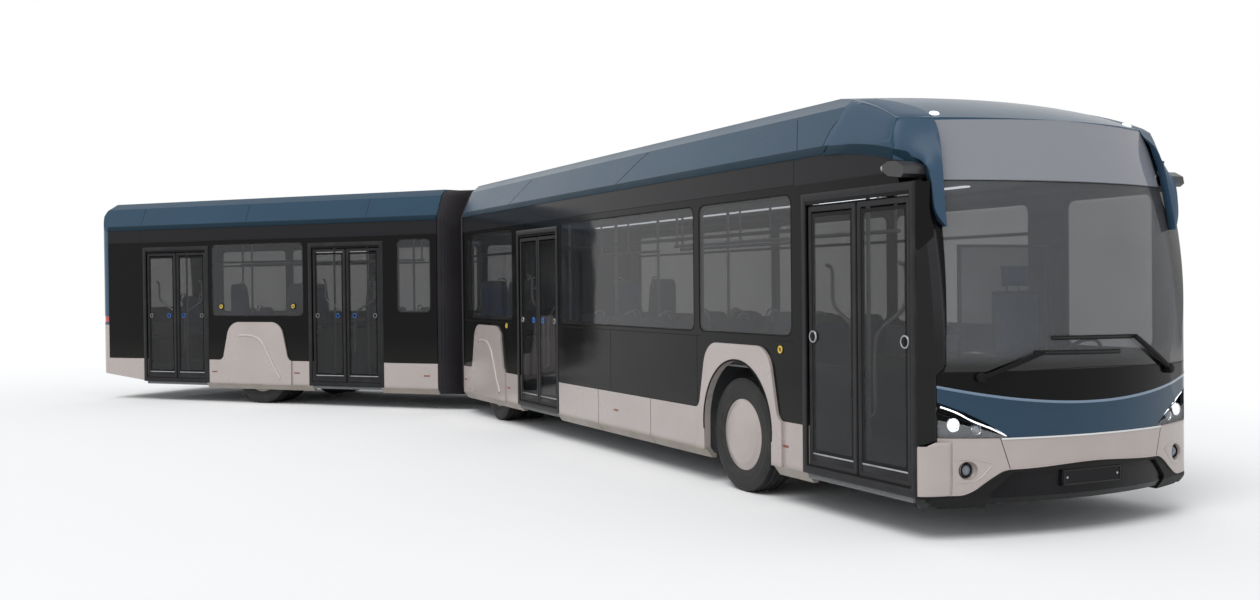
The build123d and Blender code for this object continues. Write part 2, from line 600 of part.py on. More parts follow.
def tyres(x, side, middles):
    """The tyres of one wheel station, at the given distances from the centre line."""
    half = TYRE_WIDTH / 2
    with BuildPart() as rubber:
        for middle in middles:
            centre = side * middle
            edges = [(-half, TYRE_R - SHOULDER_DROP), (SHOULDER_IN - half, TYRE_R),
                     (half - SHOULDER_IN, TYRE_R), (half, TYRE_R - SHOULDER_DROP)]
            loft([tyre_ring(radius, centre + y) for y, radius in edges], ruled=True)
            bore = [tyre_ring(RIM_R + BEAD_GAP, centre + y) for y in (-half - 5, half + 5)]
            loft(bore, ruled=True, mode=Mode.SUBTRACT)
    return Pos(x, 0, TYRE_R) * rubber.part


def wheel(x, side, outline, bore_end):
    """A wheel turned from an outline of (radius, distance from the centre line), bored for its spindle."""
    with BuildPart() as disc:
        with BuildSketch(Plane.XY) as profile:
            with BuildLine():
                Polyline(*[(radius, side * y) for radius, y in outline], close=True)
            make_face()
        revolve(profile.sketch, axis=Axis.Y)
        inner = min(y for radius, y in outline)
        across(HUB_BORE, 0, 0, sorted((side * (inner - 10), side * bore_end)), Mode.SUBTRACT)
    return Pos(x, 0, TYRE_R) * disc.part


FRONT_MIDDLE = TYRE_FACE - TREAD_MIDDLE
STEER_FACE = FRONT_MIDDLE + 60           # outer face of the front wheel's disc
COVER_RIM = FRONT_MIDDLE + TREAD_MIDDLE - 20
FRONT_OUTLINE = [(0, FRONT_MIDDLE - 15), (HUB_R, FRONT_MIDDLE - 15), (HUB_R, STEER_FACE - 35),
                 (RIM_R - 62, STEER_FACE - 35), (RIM_R - 32, FRONT_MIDDLE - 108), (RIM_R, FRONT_MIDDLE - 114),
                 (RIM_R, COVER_RIM - 4), (RIM_R - 16, COVER_RIM), (RIM_R - 60, COVER_RIM + 16),
                 (RIM_R - 130, COVER_RIM + 27), (RIM_R - 220, COVER_RIM + 33), (0, COVER_RIM + 34)]
TWIN_MIDDLE = TWIN_FACE - TREAD_MIDDLE
TWIN_INNER = TWIN_MIDDLE - TWIN_PITCH
TWIN_OUTLINE = [(0, TWIN_INNER - 60), (HUB_R, TWIN_INNER - 60), (HUB_R, TWIN_INNER + 110),
                (RIM_R - 50, TWIN_INNER + 110), (RIM_R - 28, TWIN_INNER - 108), (RIM_R, TWIN_INNER - 114),
                (RIM_R, TWIN_MIDDLE + 114), (RIM_R - 28, TWIN_MIDDLE + 108), (RIM_R - 50, TWIN_INNER + 175),
                (HUB_R + 30, TWIN_INNER + 175), (HUB_R + 10, TWIN_MIDDLE + 60), (0, TWIN_MIDDLE + 70)]
SIDES = {"right": -1, "left": 1}
for name, side in SIDES.items():
    pieces[f"front_tyre_{name}"] = (tyres(0, side, [FRONT_MIDDLE]), "front")
    pieces[f"front_wheel_{name}"] = (wheel(0, side, FRONT_OUTLINE, STEER_FACE), "front")
    for axle, carrier, x in (("middle", "front", MIDDLE_AXLE), ("rear", "trailer", REAR_AXLE)):
        pieces[f"{axle}_tyres_{name}"] = (tyres(x, side, [TWIN_MIDDLE, TWIN_INNER]), carrier)
        pieces[f"{axle}_wheels_{name}"] = (wheel(x, side, TWIN_OUTLINE, TWIN_MIDDLE + 20), carrier)

# ---- axles and steering knuckles ------------------------------------------------------------------------
BEAM = (150, FLOOR_BOTTOM)               # an axle beam runs under the floor
FORK_LOW, FORK_HIGH = (300, 342), (615, 657)
FORK_POST = (800, 880)                   # upright between beam and fork, from the centre line
BEAM_END = 860                           # clear of the tyres at full lock
KINGPIN_R = 18
with BuildPart() as front_axle:
    block((-75, 75), (-BEAM_END, BEAM_END), BEAM)
    for side in (-1, 1):
        block((-55, 55), sorted((side * FORK_POST[0], side * FORK_POST[1])), (BEAM[0], FORK_HIGH[1]))
        for height in (FORK_LOW, FORK_HIGH):
            block((-55, 55), sorted((side * FORK_POST[1], side * KINGPIN)), height)
            with Locations((0, side * KINGPIN, sum(height) / 2)):
                Cylinder(55, height[1] - height[0])
        with Locations((0, side * KINGPIN, (FORK_LOW[0] + FORK_HIGH[1]) / 2)):
            Cylinder(KINGPIN_R, FORK_HIGH[1] - FORK_LOW[0])
pieces["front_axle"] = (front_axle, "front")

for name, side in SIDES.items():
    with BuildPart() as knuckle:
        with Locations((0, side * KINGPIN, (FORK_LOW[1] + FORK_HIGH[0]) / 2)):
            Cylinder(50, FORK_HIGH[0] - FORK_LOW[1] - 1)
        across(STUB_R, 0, TYRE_R, sorted((side * KINGPIN, side * (STEER_FACE - 6))))
        with Locations((0, side * KINGPIN, (FORK_LOW[1] + FORK_HIGH[0]) / 2)):
            Cylinder(KINGPIN_R + 0.3, FORK_HIGH[0] - FORK_LOW[1] + 10, mode=Mode.SUBTRACT)
    pieces[f"knuckle_{name}"] = (knuckle, "front")


def twin_axle(x):
    """A low axle whose hubs stand inside the wheel wells."""
    upright = (TWIN_WELL_IN + 20, TWIN_INNER - TREAD_MIDDLE - 15)
    with BuildPart() as axle:
        block((x - 90, x + 90), (-upright[1], upright[1]), BEAM)
        for side in (-1, 1):
            block((x - 90, x + 90), sorted((side * upright[0], side * upright[1])), (BEAM[0], TYRE_R + 130))
            across(95, x, TYRE_R, sorted((side * upright[1], side * (TWIN_INNER - 65))))
            across(STUB_R, x, TYRE_R, sorted((side * upright[1], side * (TWIN_MIDDLE + 14))))
    return axle


pieces["middle_axle"] = (twin_axle(MIDDLE_AXLE), "front")
pieces["rear_axle"] = (twin_axle(REAR_AXLE), "trailer")

# ---- turntable under the bellows ----------------------------------------------------------------------------
RING_R = 480
DISC_R = 770
DISC = (FLOOR_TOP - 45, FLOOR_TOP)
RING = (200, DISC[0] - 5)
with BuildPart() as turntable_front:
    with Locations((PIVOT, 0, sum(RING) / 2)):
        Cylinder(RING_R, RING[1] - RING[0])
    block((PIVOT, FRONT_END), (-380, 380), (RING[0], 255))
    block((FRONT_END, FRONT_END + 400), (-380, 380), (RING[0], FLOOR_BOTTOM))
    with Locations((PIVOT, 0, sum(RING) / 2)):
        Cylinder(150.3, 200, mode=Mode.SUBTRACT)
pieces["turntable_front"] = (turntable_front, "front")
with BuildPart() as turntable_rear:
    with Locations((0, 0, sum(DISC) / 2)):
        Cylinder(DISC_R, DISC[1] - DISC[0])
    with Locations((0, 0, (RING[0] + DISC[0]) / 2)):
        Cylinder(150, DISC[0] - RING[0])
    block((TRAILER_START, -500), (-500, 500), DISC)
pieces["turntable_rear"] = (turntable_rear, "trailer")

# ---- bellows ----------------------------------------------------------------------------------------------------
BELLOWS_IN, BELLOWS_THICK, BELLOWS_STEPS = 15, 55, 8
BELLOWS_REAR = PIVOT + TRAILER_START     # its rear end while the bus is straight


def bellows_section(inset, part_way):
    """The bellows' cross-section part of the way back, turned by a smooth share of the bend."""
    share = part_way ** 2 * (3 - 2 * part_way)
    x = FRONT_END + (BELLOWS_REAR - FRONT_END) * part_way
    return Pos(PIVOT, 0, 0) * Rot(0, 0, BEND * share) * Pos(x - PIVOT, 0, 0) * body_section(inset, 0)


with BuildPart() as bellows:
    steps = [step / BELLOWS_STEPS for step in range(BELLOWS_STEPS + 1)]
    loft([bellows_section(BELLOWS_IN, step).faces()[0] for step in steps], ruled=True)
    inner = [bellows_section(BELLOWS_IN + BELLOWS_THICK, step).faces()[0] for step in steps]
    loft(inner, ruled=True, mode=Mode.SUBTRACT)
    with Locations((PIVOT, 0, 150)):
        Cylinder(1100, 2 * FLOOR_TOP, mode=Mode.SUBTRACT)
pieces["bellows"] = (bellows, "front")

# ---- seats -----------------------------------------------------------------------------------------------------------
SEAT = 430
SEAT_TOP = 450           # above whatever the seat stands on
SEAT_PITCH = 440
BOX_SEAT = 120           # the same, on a wheel box
# section, x of the backrest's rear face, side, base height, seat height above it, seats abreast,
# facing (1 forward, -1 back)
SEATS = [
    ("front", -3700, -1, FLOOR_TOP, SEAT_TOP, 2, 1), ("front", -2900, -1, FLOOR_TOP, SEAT_TOP, 2, 1),
    ("front", -2100, -1, FLOOR_TOP, SEAT_TOP, 2, 1), ("front", -1300, -1, FLOOR_TOP, SEAT_TOP, 2, 1),
    ("front", -3700, 1, FLOOR_TOP, SEAT_TOP, 2, 1), ("front", -2900, 1, FLOOR_TOP, SEAT_TOP, 2, 1),
    ("front", -2100, 1, FLOOR_TOP, SEAT_TOP, 2, 1), ("front", -1300, 1, FLOOR_TOP, SEAT_TOP, 2, 1),
    ("front", -6960, 1, WELL_TOP, BOX_SEAT, 1, 1), ("front", -5770, 1, WELL_TOP, BOX_SEAT, 1, -1),
    ("front", -6960, -1, WELL_TOP, BOX_SEAT, 1, 1), ("front", -5770, -1, WELL_TOP, BOX_SEAT, 1, -1),
    ("trailer", -3000, 1, FLOOR_TOP, SEAT_TOP, 2, 1), ("trailer", -2200, 1, FLOOR_TOP, SEAT_TOP, 2, 1),
    ("trailer", -4610, 1, WELL_TOP, BOX_SEAT, 1, 1), ("trailer", -3410, 1, WELL_TOP, BOX_SEAT, 1, -1),
    ("trailer", -4610, -1, WELL_TOP, BOX_SEAT, 1, 1), ("trailer", -3410, -1, WELL_TOP, BOX_SEAT, 1, -1),
    ("trailer", -5750, 1, FLOOR_TOP, SEAT_TOP, 2, 1), ("trailer", -7040, 1, 540, SEAT_TOP, 2, 1),
    ("trailer", -7040, -1, 540, SEAT_TOP, 2, 1),
]


def seats(section):
    """Shell seats on pedestals: each a cushion, a backrest and a foot in one piece."""
    with BuildPart() as rows:
        for carrier, back_x, side, base, rise, abreast, facing in SEATS:
            if carrier != section:
                continue
            for place in range(abreast):
                outer = HALF_WIDTH - WALL - 25 - place * SEAT_PITCH
                y = sorted((side * outer, side * (outer - SEAT)))
                along = sorted((back_x, back_x + facing * 480))
                block(along, y, (base + rise - 70, base + rise))
                block(sorted((back_x, back_x + facing * 70)), y, (base + rise, base + rise + 640))
                middle = sum(y) / 2
                block(sorted((back_x + facing * 120, back_x + facing * 360)), (middle - 90, middle + 90),
                      (base, base + rise - 70))
    return rows


pieces["seats_front"] = (seats("front"), "front")
pieces["seats_rear"] = (seats("trailer"), "trailer")

# ---- driver's place ---------------------------------------------------------------------------------------------------
DESK_TOP = 1080
with BuildPart() as driver_place:
    block((950, 2050), (250, 1200), (FLOOR_TOP, 520))                      # podium
    block((1150, 1620), (480, 960), (900, 980))                            # cushion
    block((1090, 1180), (480, 960), (980, 1700))                           # backrest
    block((1250, 1500), (600, 840), (520, 900))
    block((1950, 2180), (-250, 1190), (FLOOR_TOP, DESK_TOP))               # desk
    block((960, 1000), (250, 1200), (520, 2050))                           # partition
    block((1000, 1950), (230, 262), (FLOOR_TOP, 1150))                     # cab door
    pole((1800, 720, 1120), (1960, 720, 1000), 35)                        # steering column
    with BuildSketch(Plane(origin=(1800, 720, 1120), z_dir=(-0.8, 0, 0.6))) as steering_wheel:
        Circle(225)
        Circle(195, mode=Mode.SUBTRACT)
        Rectangle(400, 50)
    extrude(steering_wheel.sketch, amount=14, both=True)
pieces["driver_place"] = (driver_place, "front")

# ---- handrails -----------------------------------------------------------------------------------------------------------
RAIL_R = 17
RAIL_HEIGHT = 2150
# section, x, y of each upright between floor and ceiling
UPRIGHTS = [
    ("front", 930, -600), ("front", -3920, -560), ("front", -5300, -560), ("front", -4600, 320),
    ("front", -6300, -320), ("front", -2850, 300), ("front", -1250, 300), ("front", -3920, 560),
    ("trailer", -1640, -560), ("trailer", -3080, -560), ("trailer", -4860, -340), ("trailer", -6240, -320),
    ("trailer", -3080, 300), ("trailer", -5600, 300),
]
# section, first x, last x, y of the rails that run under the ceiling
LONG_RAILS = [("front", -6300, -4600, 320), ("front", -3920, -1250, 300), ("front", -2850, 930, -330),
              ("trailer", -5600, -3080, 300), ("trailer", -4860, -1640, -340)]


def handrails(section):
    with BuildPart() as rails:
        for carrier, x, y in UPRIGHTS:
            if carrier == section:
                pole((x, y, FLOOR_TOP), (x, y, CEILING), RAIL_R)
        for carrier, first, last, y in LONG_RAILS:
            if carrier == section:
                pole((first - 40, y, RAIL_HEIGHT), (last + 40, y, RAIL_HEIGHT), RAIL_R)
                for x in (first, (first + last) / 2, last):
                    pole((x, y, RAIL_HEIGHT), (x, y, CEILING), RAIL_R * 0.7)
    return rails


pieces["handrails_front"] = (handrails("front"), "front")
pieces["handrails_rear"] = (handrails("trailer"), "trailer")

# ---- camera arms, wipers, lamps ---------------------------------------------------------------------------------------------
POD = [(2065, 2540), (2065, 2500), (2125, 2462), (2262, 2442), (2298, 2466), (2288, 2518), (2215, 2556),
       (2125, 2560)]     # side view of a camera pod
POD_Y = (1120, 1312)
with BuildPart() as camera_arms:
    for side in (-1, 1):
        side_prism(POD, sorted(side * y for y in POD_Y))
    add(FRONT_OUT, mode=Mode.SUBTRACT)
pieces["camera_arms"] = (camera_arms, "front")

with BuildPart() as marker_lamps:
    for side in (-1, 1):
        across(32, 700, 1222, sorted((side * HALF_WIDTH, side * (HALF_WIDTH + 8))))
        across(32, -5640, 1250, sorted((side * HALF_WIDTH, side * (HALF_WIDTH + 8))))
pieces["marker_lamps"] = (marker_lamps, "front")

with BuildPart() as tail_lamps:
    add(trailer_hull(2))
    add(TRAILER_IN, mode=Mode.SUBTRACT)
    block((TRAILER_END - 100, TAIL_REAR), THROUGH, TAIL_LAMP, Mode.INTERSECT)
    block((TRAILER_END - 100, TAIL_REAR), (-1000, 1000), TAIL_LAMP, Mode.SUBTRACT)
pieces["tail_lamps"] = (tail_lamps, "trailer")

# ---- place every piece, shift the whole so the origin lies under its middle, and write it ----------------
PLACES = {"front": Location(), "trailer": Pos(PIVOT, 0, 0) * Rot(0, 0, BEND)}
placed = {}
for name, (builder, carrier) in pieces.items():
    placed[name] = PLACES[carrier] * (builder.part if isinstance(builder, BuildPart) else builder)
boxes = [piece.bounding_box() for piece in placed.values()]
low = [min(tuple(box.min)[i] for box in boxes) for i in range(3)]
high = [max(tuple(box.max)[i] for box in boxes) for i in range(3)]
ORIGIN = (-(low[0] + high[0]) / 2, -(low[1] + high[1]) / 2)
print("origin shift", ORIGIN, "box", low, high)
for name, piece in placed.items():
    shifted = Pos(*ORIGIN, 0) * piece
    shifted.label = name
    export_step(shifted, f"parts/{name}.step")
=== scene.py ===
"""Finishes and fine pieces of an articulated low-floor city bus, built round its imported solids.

The file follows the bus as it is put together: running gear, floors, body shells, doors and
glass, nose and tail, cabin, bellows, and last the studio that it stands in.
"""
import json
from math import cos, pi, radians, sin

import bmesh
import bpy
from mathutils import Matrix, Vector
from mathutils.bvhtree import BVHTree


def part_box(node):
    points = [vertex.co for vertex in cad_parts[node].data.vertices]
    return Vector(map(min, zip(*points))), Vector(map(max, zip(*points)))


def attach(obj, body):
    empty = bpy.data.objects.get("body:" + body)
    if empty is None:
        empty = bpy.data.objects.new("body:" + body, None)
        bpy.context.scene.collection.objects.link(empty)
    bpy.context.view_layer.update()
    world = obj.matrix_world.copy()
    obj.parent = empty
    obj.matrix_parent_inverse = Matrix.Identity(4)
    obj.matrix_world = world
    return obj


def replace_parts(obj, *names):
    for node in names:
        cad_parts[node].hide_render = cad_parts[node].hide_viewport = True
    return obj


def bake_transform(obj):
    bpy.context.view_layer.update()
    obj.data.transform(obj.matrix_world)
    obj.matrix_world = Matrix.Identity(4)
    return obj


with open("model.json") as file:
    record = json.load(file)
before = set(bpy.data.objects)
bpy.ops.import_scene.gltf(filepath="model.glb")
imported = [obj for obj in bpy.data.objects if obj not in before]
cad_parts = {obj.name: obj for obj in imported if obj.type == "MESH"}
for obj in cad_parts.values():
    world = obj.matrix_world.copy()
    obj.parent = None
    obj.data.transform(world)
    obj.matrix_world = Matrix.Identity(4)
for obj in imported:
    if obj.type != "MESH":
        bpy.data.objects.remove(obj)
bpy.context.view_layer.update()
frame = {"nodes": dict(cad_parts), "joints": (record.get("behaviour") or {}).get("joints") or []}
nodes = frame["nodes"]

# ---- axles, steering knuckles, turntable and towing jaw ----------------------------------------
# Cast and welded steel under the floor, in a dull black chassis coat. Road dust has settled on
# it, most of all low down.


class Tone:
    """One output of a material's nodes, with the operators of plain arithmetic."""

    def __init__(self, socket):
        self.socket = socket

    def node(self, kind, settings=None, inputs=None, output=0):
        """Any other node of the same material: its settings first, then values or links."""
        made = self.socket.id_data.nodes.new("ShaderNode" + kind)
        for key, value in (settings or {}).items():
            if key == "stops":
                for stop, (place, colour) in enumerate(value):
                    element = made.color_ramp.elements[stop] if stop < 2 else \
                        made.color_ramp.elements.new(place)
                    element.position, element.color = place, (*colour, 1)
            else:
                setattr(made, key, value)
        for key, value in (inputs or {}).items():
            if isinstance(value, Tone):
                self.socket.id_data.links.new(value.socket, made.inputs[key])
            else:
                socket = made.inputs[key]
                wide = hasattr(socket.default_value, "__len__") and len(socket.default_value) == 4
                socket.default_value = (*value, 1) if wide and len(value) == 3 else value
        return Tone(made.outputs[output])

    def math(self, operation, other, swap=False):
        pair = (other, self) if swap else (self, other)
        return self.node("Math", {"operation": operation}, {0: pair[0], 1: pair[1]})

    def __add__(self, other):
        return self.math("ADD", other)

    def __sub__(self, other):
        return self.math("SUBTRACT", other)

    def __mul__(self, other):
        return self.math("MULTIPLY", other)

    def __truediv__(self, other):
        return self.math("DIVIDE", other)

    def __pow__(self, other):
        return self.math("POWER", other)

    def __rsub__(self, other):
        return self.math("SUBTRACT", other, True)

    __radd__, __rmul__ = __add__, __mul__

    def __abs__(self):
        return self.node("Math", {"operation": "ABSOLUTE"}, {0: self})

    def rise(self, low, high):
        """0 below low, 1 above high, and smooth between; a low above high falls."""
        return self.node("MapRange", {"interpolation_type": "SMOOTHSTEP"}, {0: self, 1: low, 2: high})

    def tint(self, colour, other):
        """colour where this is 0, other where it is 1."""
        return self.node("Mix", {"data_type": "RGBA"}, {0: self, 6: colour, 7: other}, 2)

    def noise(self, scale, detail=3, rough=0.55):
        """Cloudy noise between 0 and 1 over this place."""
        return self.node("TexNoise", {}, {"Vector": self, "Scale": scale, "Detail": detail,
                                          "Roughness": rough})

    def cells(self, scale):
        """Distance from this place to the nearest of many scattered points."""
        return self.node("TexVoronoi", {}, {"Vector": self, "Scale": scale})

    def wave(self, direction, scale, distortion):
        """Woven bands over this place."""
        return self.node("TexWave", {"bands_direction": direction},
                         {"Vector": self, "Scale": scale, "Distortion": distortion})

    def axes(self):
        """The three numbers of this place."""
        split = self.node("SeparateXYZ", {}, {0: self})
        return [Tone(split.socket.node.outputs[axis]) for axis in range(3)]


def finish(name, paint):
    """A material; paint gets the surface's place and returns the shader's socket values."""
    made = bpy.data.materials.new(name)
    made.use_nodes = True
    tree = made.node_tree
    tree.nodes.clear()
    place = Tone(tree.nodes.new("ShaderNodeTexCoord").outputs["Object"])
    values = paint(place)
    if "Alpha" in values:
        made.surface_render_method = "DITHERED"
    relief = values.pop("relief", None)
    if relief:
        height, distance = relief
        values["Normal"] = place.node("Bump", {}, {"Height": height, "Distance": distance})
    shader = place.node("BsdfPrincipled", {}, values)
    tree.links.new(shader.socket, tree.nodes.new("ShaderNodeOutputMaterial").inputs["Surface"])
    return made


def dress(material, *names):
    """Gives CAD nodes a material."""
    for name in names:
        nodes[name].data.materials.clear()
        nodes[name].data.materials.append(material)


def chassis_paint(place):
    dust = place.noise(3.1, 5).rise(0.42, 0.75) * place.axes()[2].rise(0.7, 0.15)
    return {"Base Color": dust.tint((0.016, 0.016, 0.017), (0.085, 0.075, 0.062)),
            "Roughness": 0.55 + dust * 0.3,
            "relief": (place.noise(140, 2), 0.0006)}


chassis = finish("chassis_coat", chassis_paint)
dress(chassis, "front_axle", "middle_axle", "rear_axle", "knuckle_left", "knuckle_right",
      "turntable_front", "turntable_rear")


# ---- wheels and tyres --------------------------------------------------------------------------
# Low-section rubber tyres on steel rims, single in front and in twins behind. The front wheels
# carry a domed sheet cover in the skirts' colour, the twins a plain dished one.
low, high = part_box("front_axle")
joint_of = {joint["name"]: joint for joint in frame["joints"]}
pivot = Vector(joint_of["articulation"]["pos_m"])
BEND = radians(41)       # how far the trailer is swung at rest
SECTION = {"front": Matrix.Translation(((low.x + high.x) / 2, (low.y + high.y) / 2, 0)),
           "trailer": Matrix.Translation((pivot.x, pivot.y, 0)) @ Matrix.Rotation(BEND, 4, "Z")}
BODY = {"front": "front_section", "trailer": "trailer"}


def oblong(x, z, radius, steps=5):
    """A rounded rectangle's corner points as (x, z, sign of x, sign of z), all the way round."""
    marks = []
    for quarter, (sx, sz) in enumerate(((1, 1), (-1, 1), (-1, -1), (1, -1))):
        middle = (x[sx > 0] - sx * radius, z[sz > 0] - sz * radius)
        for step in range(steps + 1):
            turn = (quarter + step / steps) * pi / 2
            marks.append((middle[0] + cos(turn) * radius, middle[1] + sin(turn) * radius, sx, sz))
    return marks


class Form:
    """A mesh in the making, in metres of one section's own frame."""

    def __init__(self):
        self.mesh = bmesh.new()

    def grid(self, rows, loop=False, cap=False):
        """A skin over rows of points; loop joins each row's ends, cap closes the first and last."""
        made = [[self.mesh.verts.new(point) for point in row] for row in rows]
        count = len(made[0])
        for here, there in zip(made, made[1:]):
            for step in range(count if loop else count - 1):
                follow = (step + 1) % count
                self.mesh.faces.new((here[step], here[follow], there[follow], there[step]))
        if cap:
            self.mesh.faces.new(made[0][::-1])
            self.mesh.faces.new(made[-1])
        return self

    def box(self, low, high, bevel=0.0):
        """A block between two corners, with rounded edges."""
        low, high = Vector(low), Vector(high)
        low, high = [Vector(map(pick, low, high)) for pick in (min, max)]
        made = bmesh.ops.create_cube(self.mesh, size=1)["verts"]
        for vert in made:
            vert.co = Vector([(low[i] + high[i]) / 2 + vert.co[i] * (high[i] - low[i]) for i in range(3)])
        if bevel:
            edges = dict.fromkeys(edge for vert in made for edge in vert.link_edges)
            bmesh.ops.bevel(self.mesh, geom=list(edges), offset=bevel, segments=2, profile=0.5,
                            affect="EDGES")
        return self

    def tube(self, points, radius, sides=10, loop=False):
        """A round bar along points; radius may be a list, one for each point."""
        points = [Vector(point) for point in points]
        radii = radius if isinstance(radius, (list, tuple)) else [radius] * len(points)
        rings, count = [], len(points)
        side = None
        for step, point in enumerate(points):
            ahead = points[(step + 1) % count] if loop or step + 1 < count else point
            behind = points[step - 1] if loop or step else point
            along = (ahead - behind).normalized()
            if side is None:
                side = along.orthogonal().normalized()
            side = (side - along * side.dot(along)).normalized()
            other = along.cross(side)
            rings.append([point + (side * cos(turn) + other * sin(turn)) * radii[step]
                          for turn in [2 * pi * part / sides for part in range(sides)]])
        if loop:
            rings.append(rings[0])
        return self.grid(rings, loop=True, cap=not loop)

    def strip(self, path, width, height, lift=0.0):
        """A flat strip along path, a list of (point, normal), with rounded shoulders."""
        rows = []
        for step, (point, normal) in enumerate(path):
            ahead = path[min(step + 1, len(path) - 1)][0]
            behind = path[max(step - 1, 0)][0]
            across = (ahead - behind).cross(normal).normalized() * width / 2
            top = normal * (height + lift)
            rows.append([point - across - normal * 0.002, point - across + top * 0.6,
                         point - across * 0.7 + top, point + across * 0.7 + top,
                         point + across + top * 0.6, point + across - normal * 0.002])
        return self.grid(rows, loop=True, cap=True)

    def lathe(self, outline, centre, axis=(0, 1, 0), steps=64):
        """An outline of (radius, distance along axis) turned about centre."""
        axis = Vector(axis).normalized()
        out = axis.orthogonal().normalized()
        centre = Vector(centre)
        rows = []
        for step in range(steps + 1):
            spoke = Matrix.Rotation(2 * pi * (step % steps) / steps, 3, axis) @ out
            rows.append([centre + spoke * radius + axis * along for radius, along in outline])
        self.grid(rows)
        bmesh.ops.remove_doubles(self.mesh, verts=self.mesh.verts, dist=1e-5)
        return self

    def rim(self, x, z, radius, profile, side=-1):
        """A frame along a rounded rectangle: profile is (how far in, how far out from the middle plane)."""
        marks = oblong(x, z, radius)
        rows = [[(px - sx * inward, side * out, pz - sz * inward) for px, pz, sx, sz in marks]
                for inward, out in profile]
        return self.grid(rows + rows[:1], loop=True)

    def done(self, name, material, section, slot, body=None, thick=0.0, sharp=35):
        """The finished piece, riding on its body."""
        bmesh.ops.recalc_face_normals(self.mesh, faces=self.mesh.faces)
        data = bpy.data.meshes.new(name)
        self.mesh.to_mesh(data)
        self.mesh.free()
        data.materials.append(material)
        data.transform(SECTION[section])
        data.shade_smooth()
        data.set_sharp_from_angle(angle=radians(sharp))
        made = bpy.data.objects.new(name, data)
        bpy.context.scene.collection.objects.link(made)
        if thick:
            solid = made.modifiers.new("thick", "SOLIDIFY")
            solid.thickness, solid.offset = thick, -1
        if body is not False:
            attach(made, body or BODY[section])
        return made


def worn(name, mask, values, relief):
    """A finish under one mask of wear: a noise's (scale, detail, low, high), or the scale of prisms.
    A value is plain, or a pair: two colours, or a number and what wear adds to it. relief is a
    noise's (scale, detail, height), cells' (scale, height), or the prisms' own height."""
    def paint(place):
        prisms = isinstance(mask, int)
        film = place.cells(mask) if prisms else place.noise(*mask[:2]).rise(*mask[2:])
        made = {}
        for key, value in values.items():
            if not isinstance(value, tuple) or len(value) != 2:
                made[key] = value
            elif isinstance(value[0], tuple):
                made[key] = film.tint(*value)
            else:
                made[key] = value[0] + film * value[1]
        if prisms:
            return {**made, "relief": (film, relief)}
        grain = place.noise(*relief[:2]) if len(relief) == 3 else place.cells(relief[0])
        return {**made, "relief": (grain, relief[-1])}
    return finish(name, paint)


tyre_rubber = worn("tyre_rubber", (9, 5, 0.4, 0.75), {
    "Base Color": ((0.017, 0.017, 0.018), (0.042, 0.040, 0.037)), "Roughness": (0.62, 0.25),
    "Specular IOR Level": 0.35}, (420, 2, 0.0004))
beige = worn("champagne_paint", (2.4, 4, 0.35, 0.8), {
    "Base Color": ((0.44, 0.385, 0.365), (0.40, 0.345, 0.32)), "Roughness": (0.30, 0.12),
    "Metallic": 0.12, "Coat Weight": 0.35, "Coat Roughness": 0.12}, (600, 1, 0.0001))
TYRE_R, CROWN_R, RIM_R = 0.4785, 0.478, 0.298
# Half section of a tyre (radius, distance from its middle): bead, sidewall with its rings, shoulder
SIDEWALL = [(RIM_R, 0.112), (0.304, 0.1215), (0.322, 0.1268), (0.327, 0.1262), (0.331, 0.1272),
            (0.352, 0.1326), (0.355, 0.1338), (0.358, 0.1330), (0.385, 0.1352), (0.405, 0.1352),
            (0.409, 0.1362), (0.413, 0.1350), (0.432, 0.1322), (0.448, 0.1270), (0.460, 0.1205)]
GROOVES = [0.026, 0.076]                 # middles of the tread's grooves, either side of the middle
GROOVE_HALF, GROOVE_DEEP = 0.0055, 0.012
tread = [(0.4700, 0.1150), (0.4740, 0.1105), (0.4745, 0.0835)]
for middle in GROOVES[::-1]:
    tread += [(CROWN_R if middle == GROOVES[0] else 0.4745, middle + GROOVE_HALF),
              (CROWN_R - GROOVE_DEEP, middle + GROOVE_HALF * 0.6),
              (CROWN_R - GROOVE_DEEP, middle - GROOVE_HALF * 0.6), (CROWN_R, middle - GROOVE_HALF)]
half_section = SIDEWALL + tread
tyre_section = half_section + [(radius, -along) for radius, along in half_section[::-1]]
SIPES = 96                               # blocks round each of the tyre's outer ribs
STATIONS = {"front_tyre": ("front", 0.0, [1.0945]), "middle_tyres": ("front", -6.36, [1.0205, 0.7055]),
            "rear_tyres": ("trailer", -4.01, [1.0205, 0.7055])}
for station, (section, x, middles) in STATIONS.items():
    for hand, side in (("left", 1), ("right", -1)):
        form = Form()
        for middle in middles:
            form.lathe(tyre_section, (x, side * middle, TYRE_R), steps=120)
            for sipe in range(SIPES):
                turn = 2 * pi * sipe / SIPES
                spoke, along = Vector((cos(turn), 0, sin(turn))), Vector((-sin(turn), 0, cos(turn)))
                for edge in (-0.097, 0.097):
                    centre = Vector((x, side * middle + edge, TYRE_R))
                    corners = [centre + spoke * radius + along * step + Vector((0, wide, 0))
                               for radius, step in ((0.472, -0.011), (0.4784, -0.010), (0.4784, 0.010),
                                                    (0.472, 0.011)) for wide in (-0.0125, 0.0125)]
                    form.grid([corners[0:8:2], corners[1:8:2]])
        name = f"{station}_{hand}"
        body = name.replace("tyres", "wheels").replace("tyre", "wheel")
        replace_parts(form.done(f"{name}_rubber", tyre_rubber, section, "tyre", body), name)
dress(beige, *[name for name in nodes if "wheel" in name])


# ---- floors, skirts and the raised panels round the wheels -------------------------------------
# The floor is plywood under speckled grey vinyl. The skirts and arch panels are pressed sheet in
# a champagne metallic, with a bevel below that is a darker olive-grey in patches.
CHAMPAGNE = ((0.44, 0.385, 0.365), (0.41, 0.355, 0.335))     # fresh and weathered


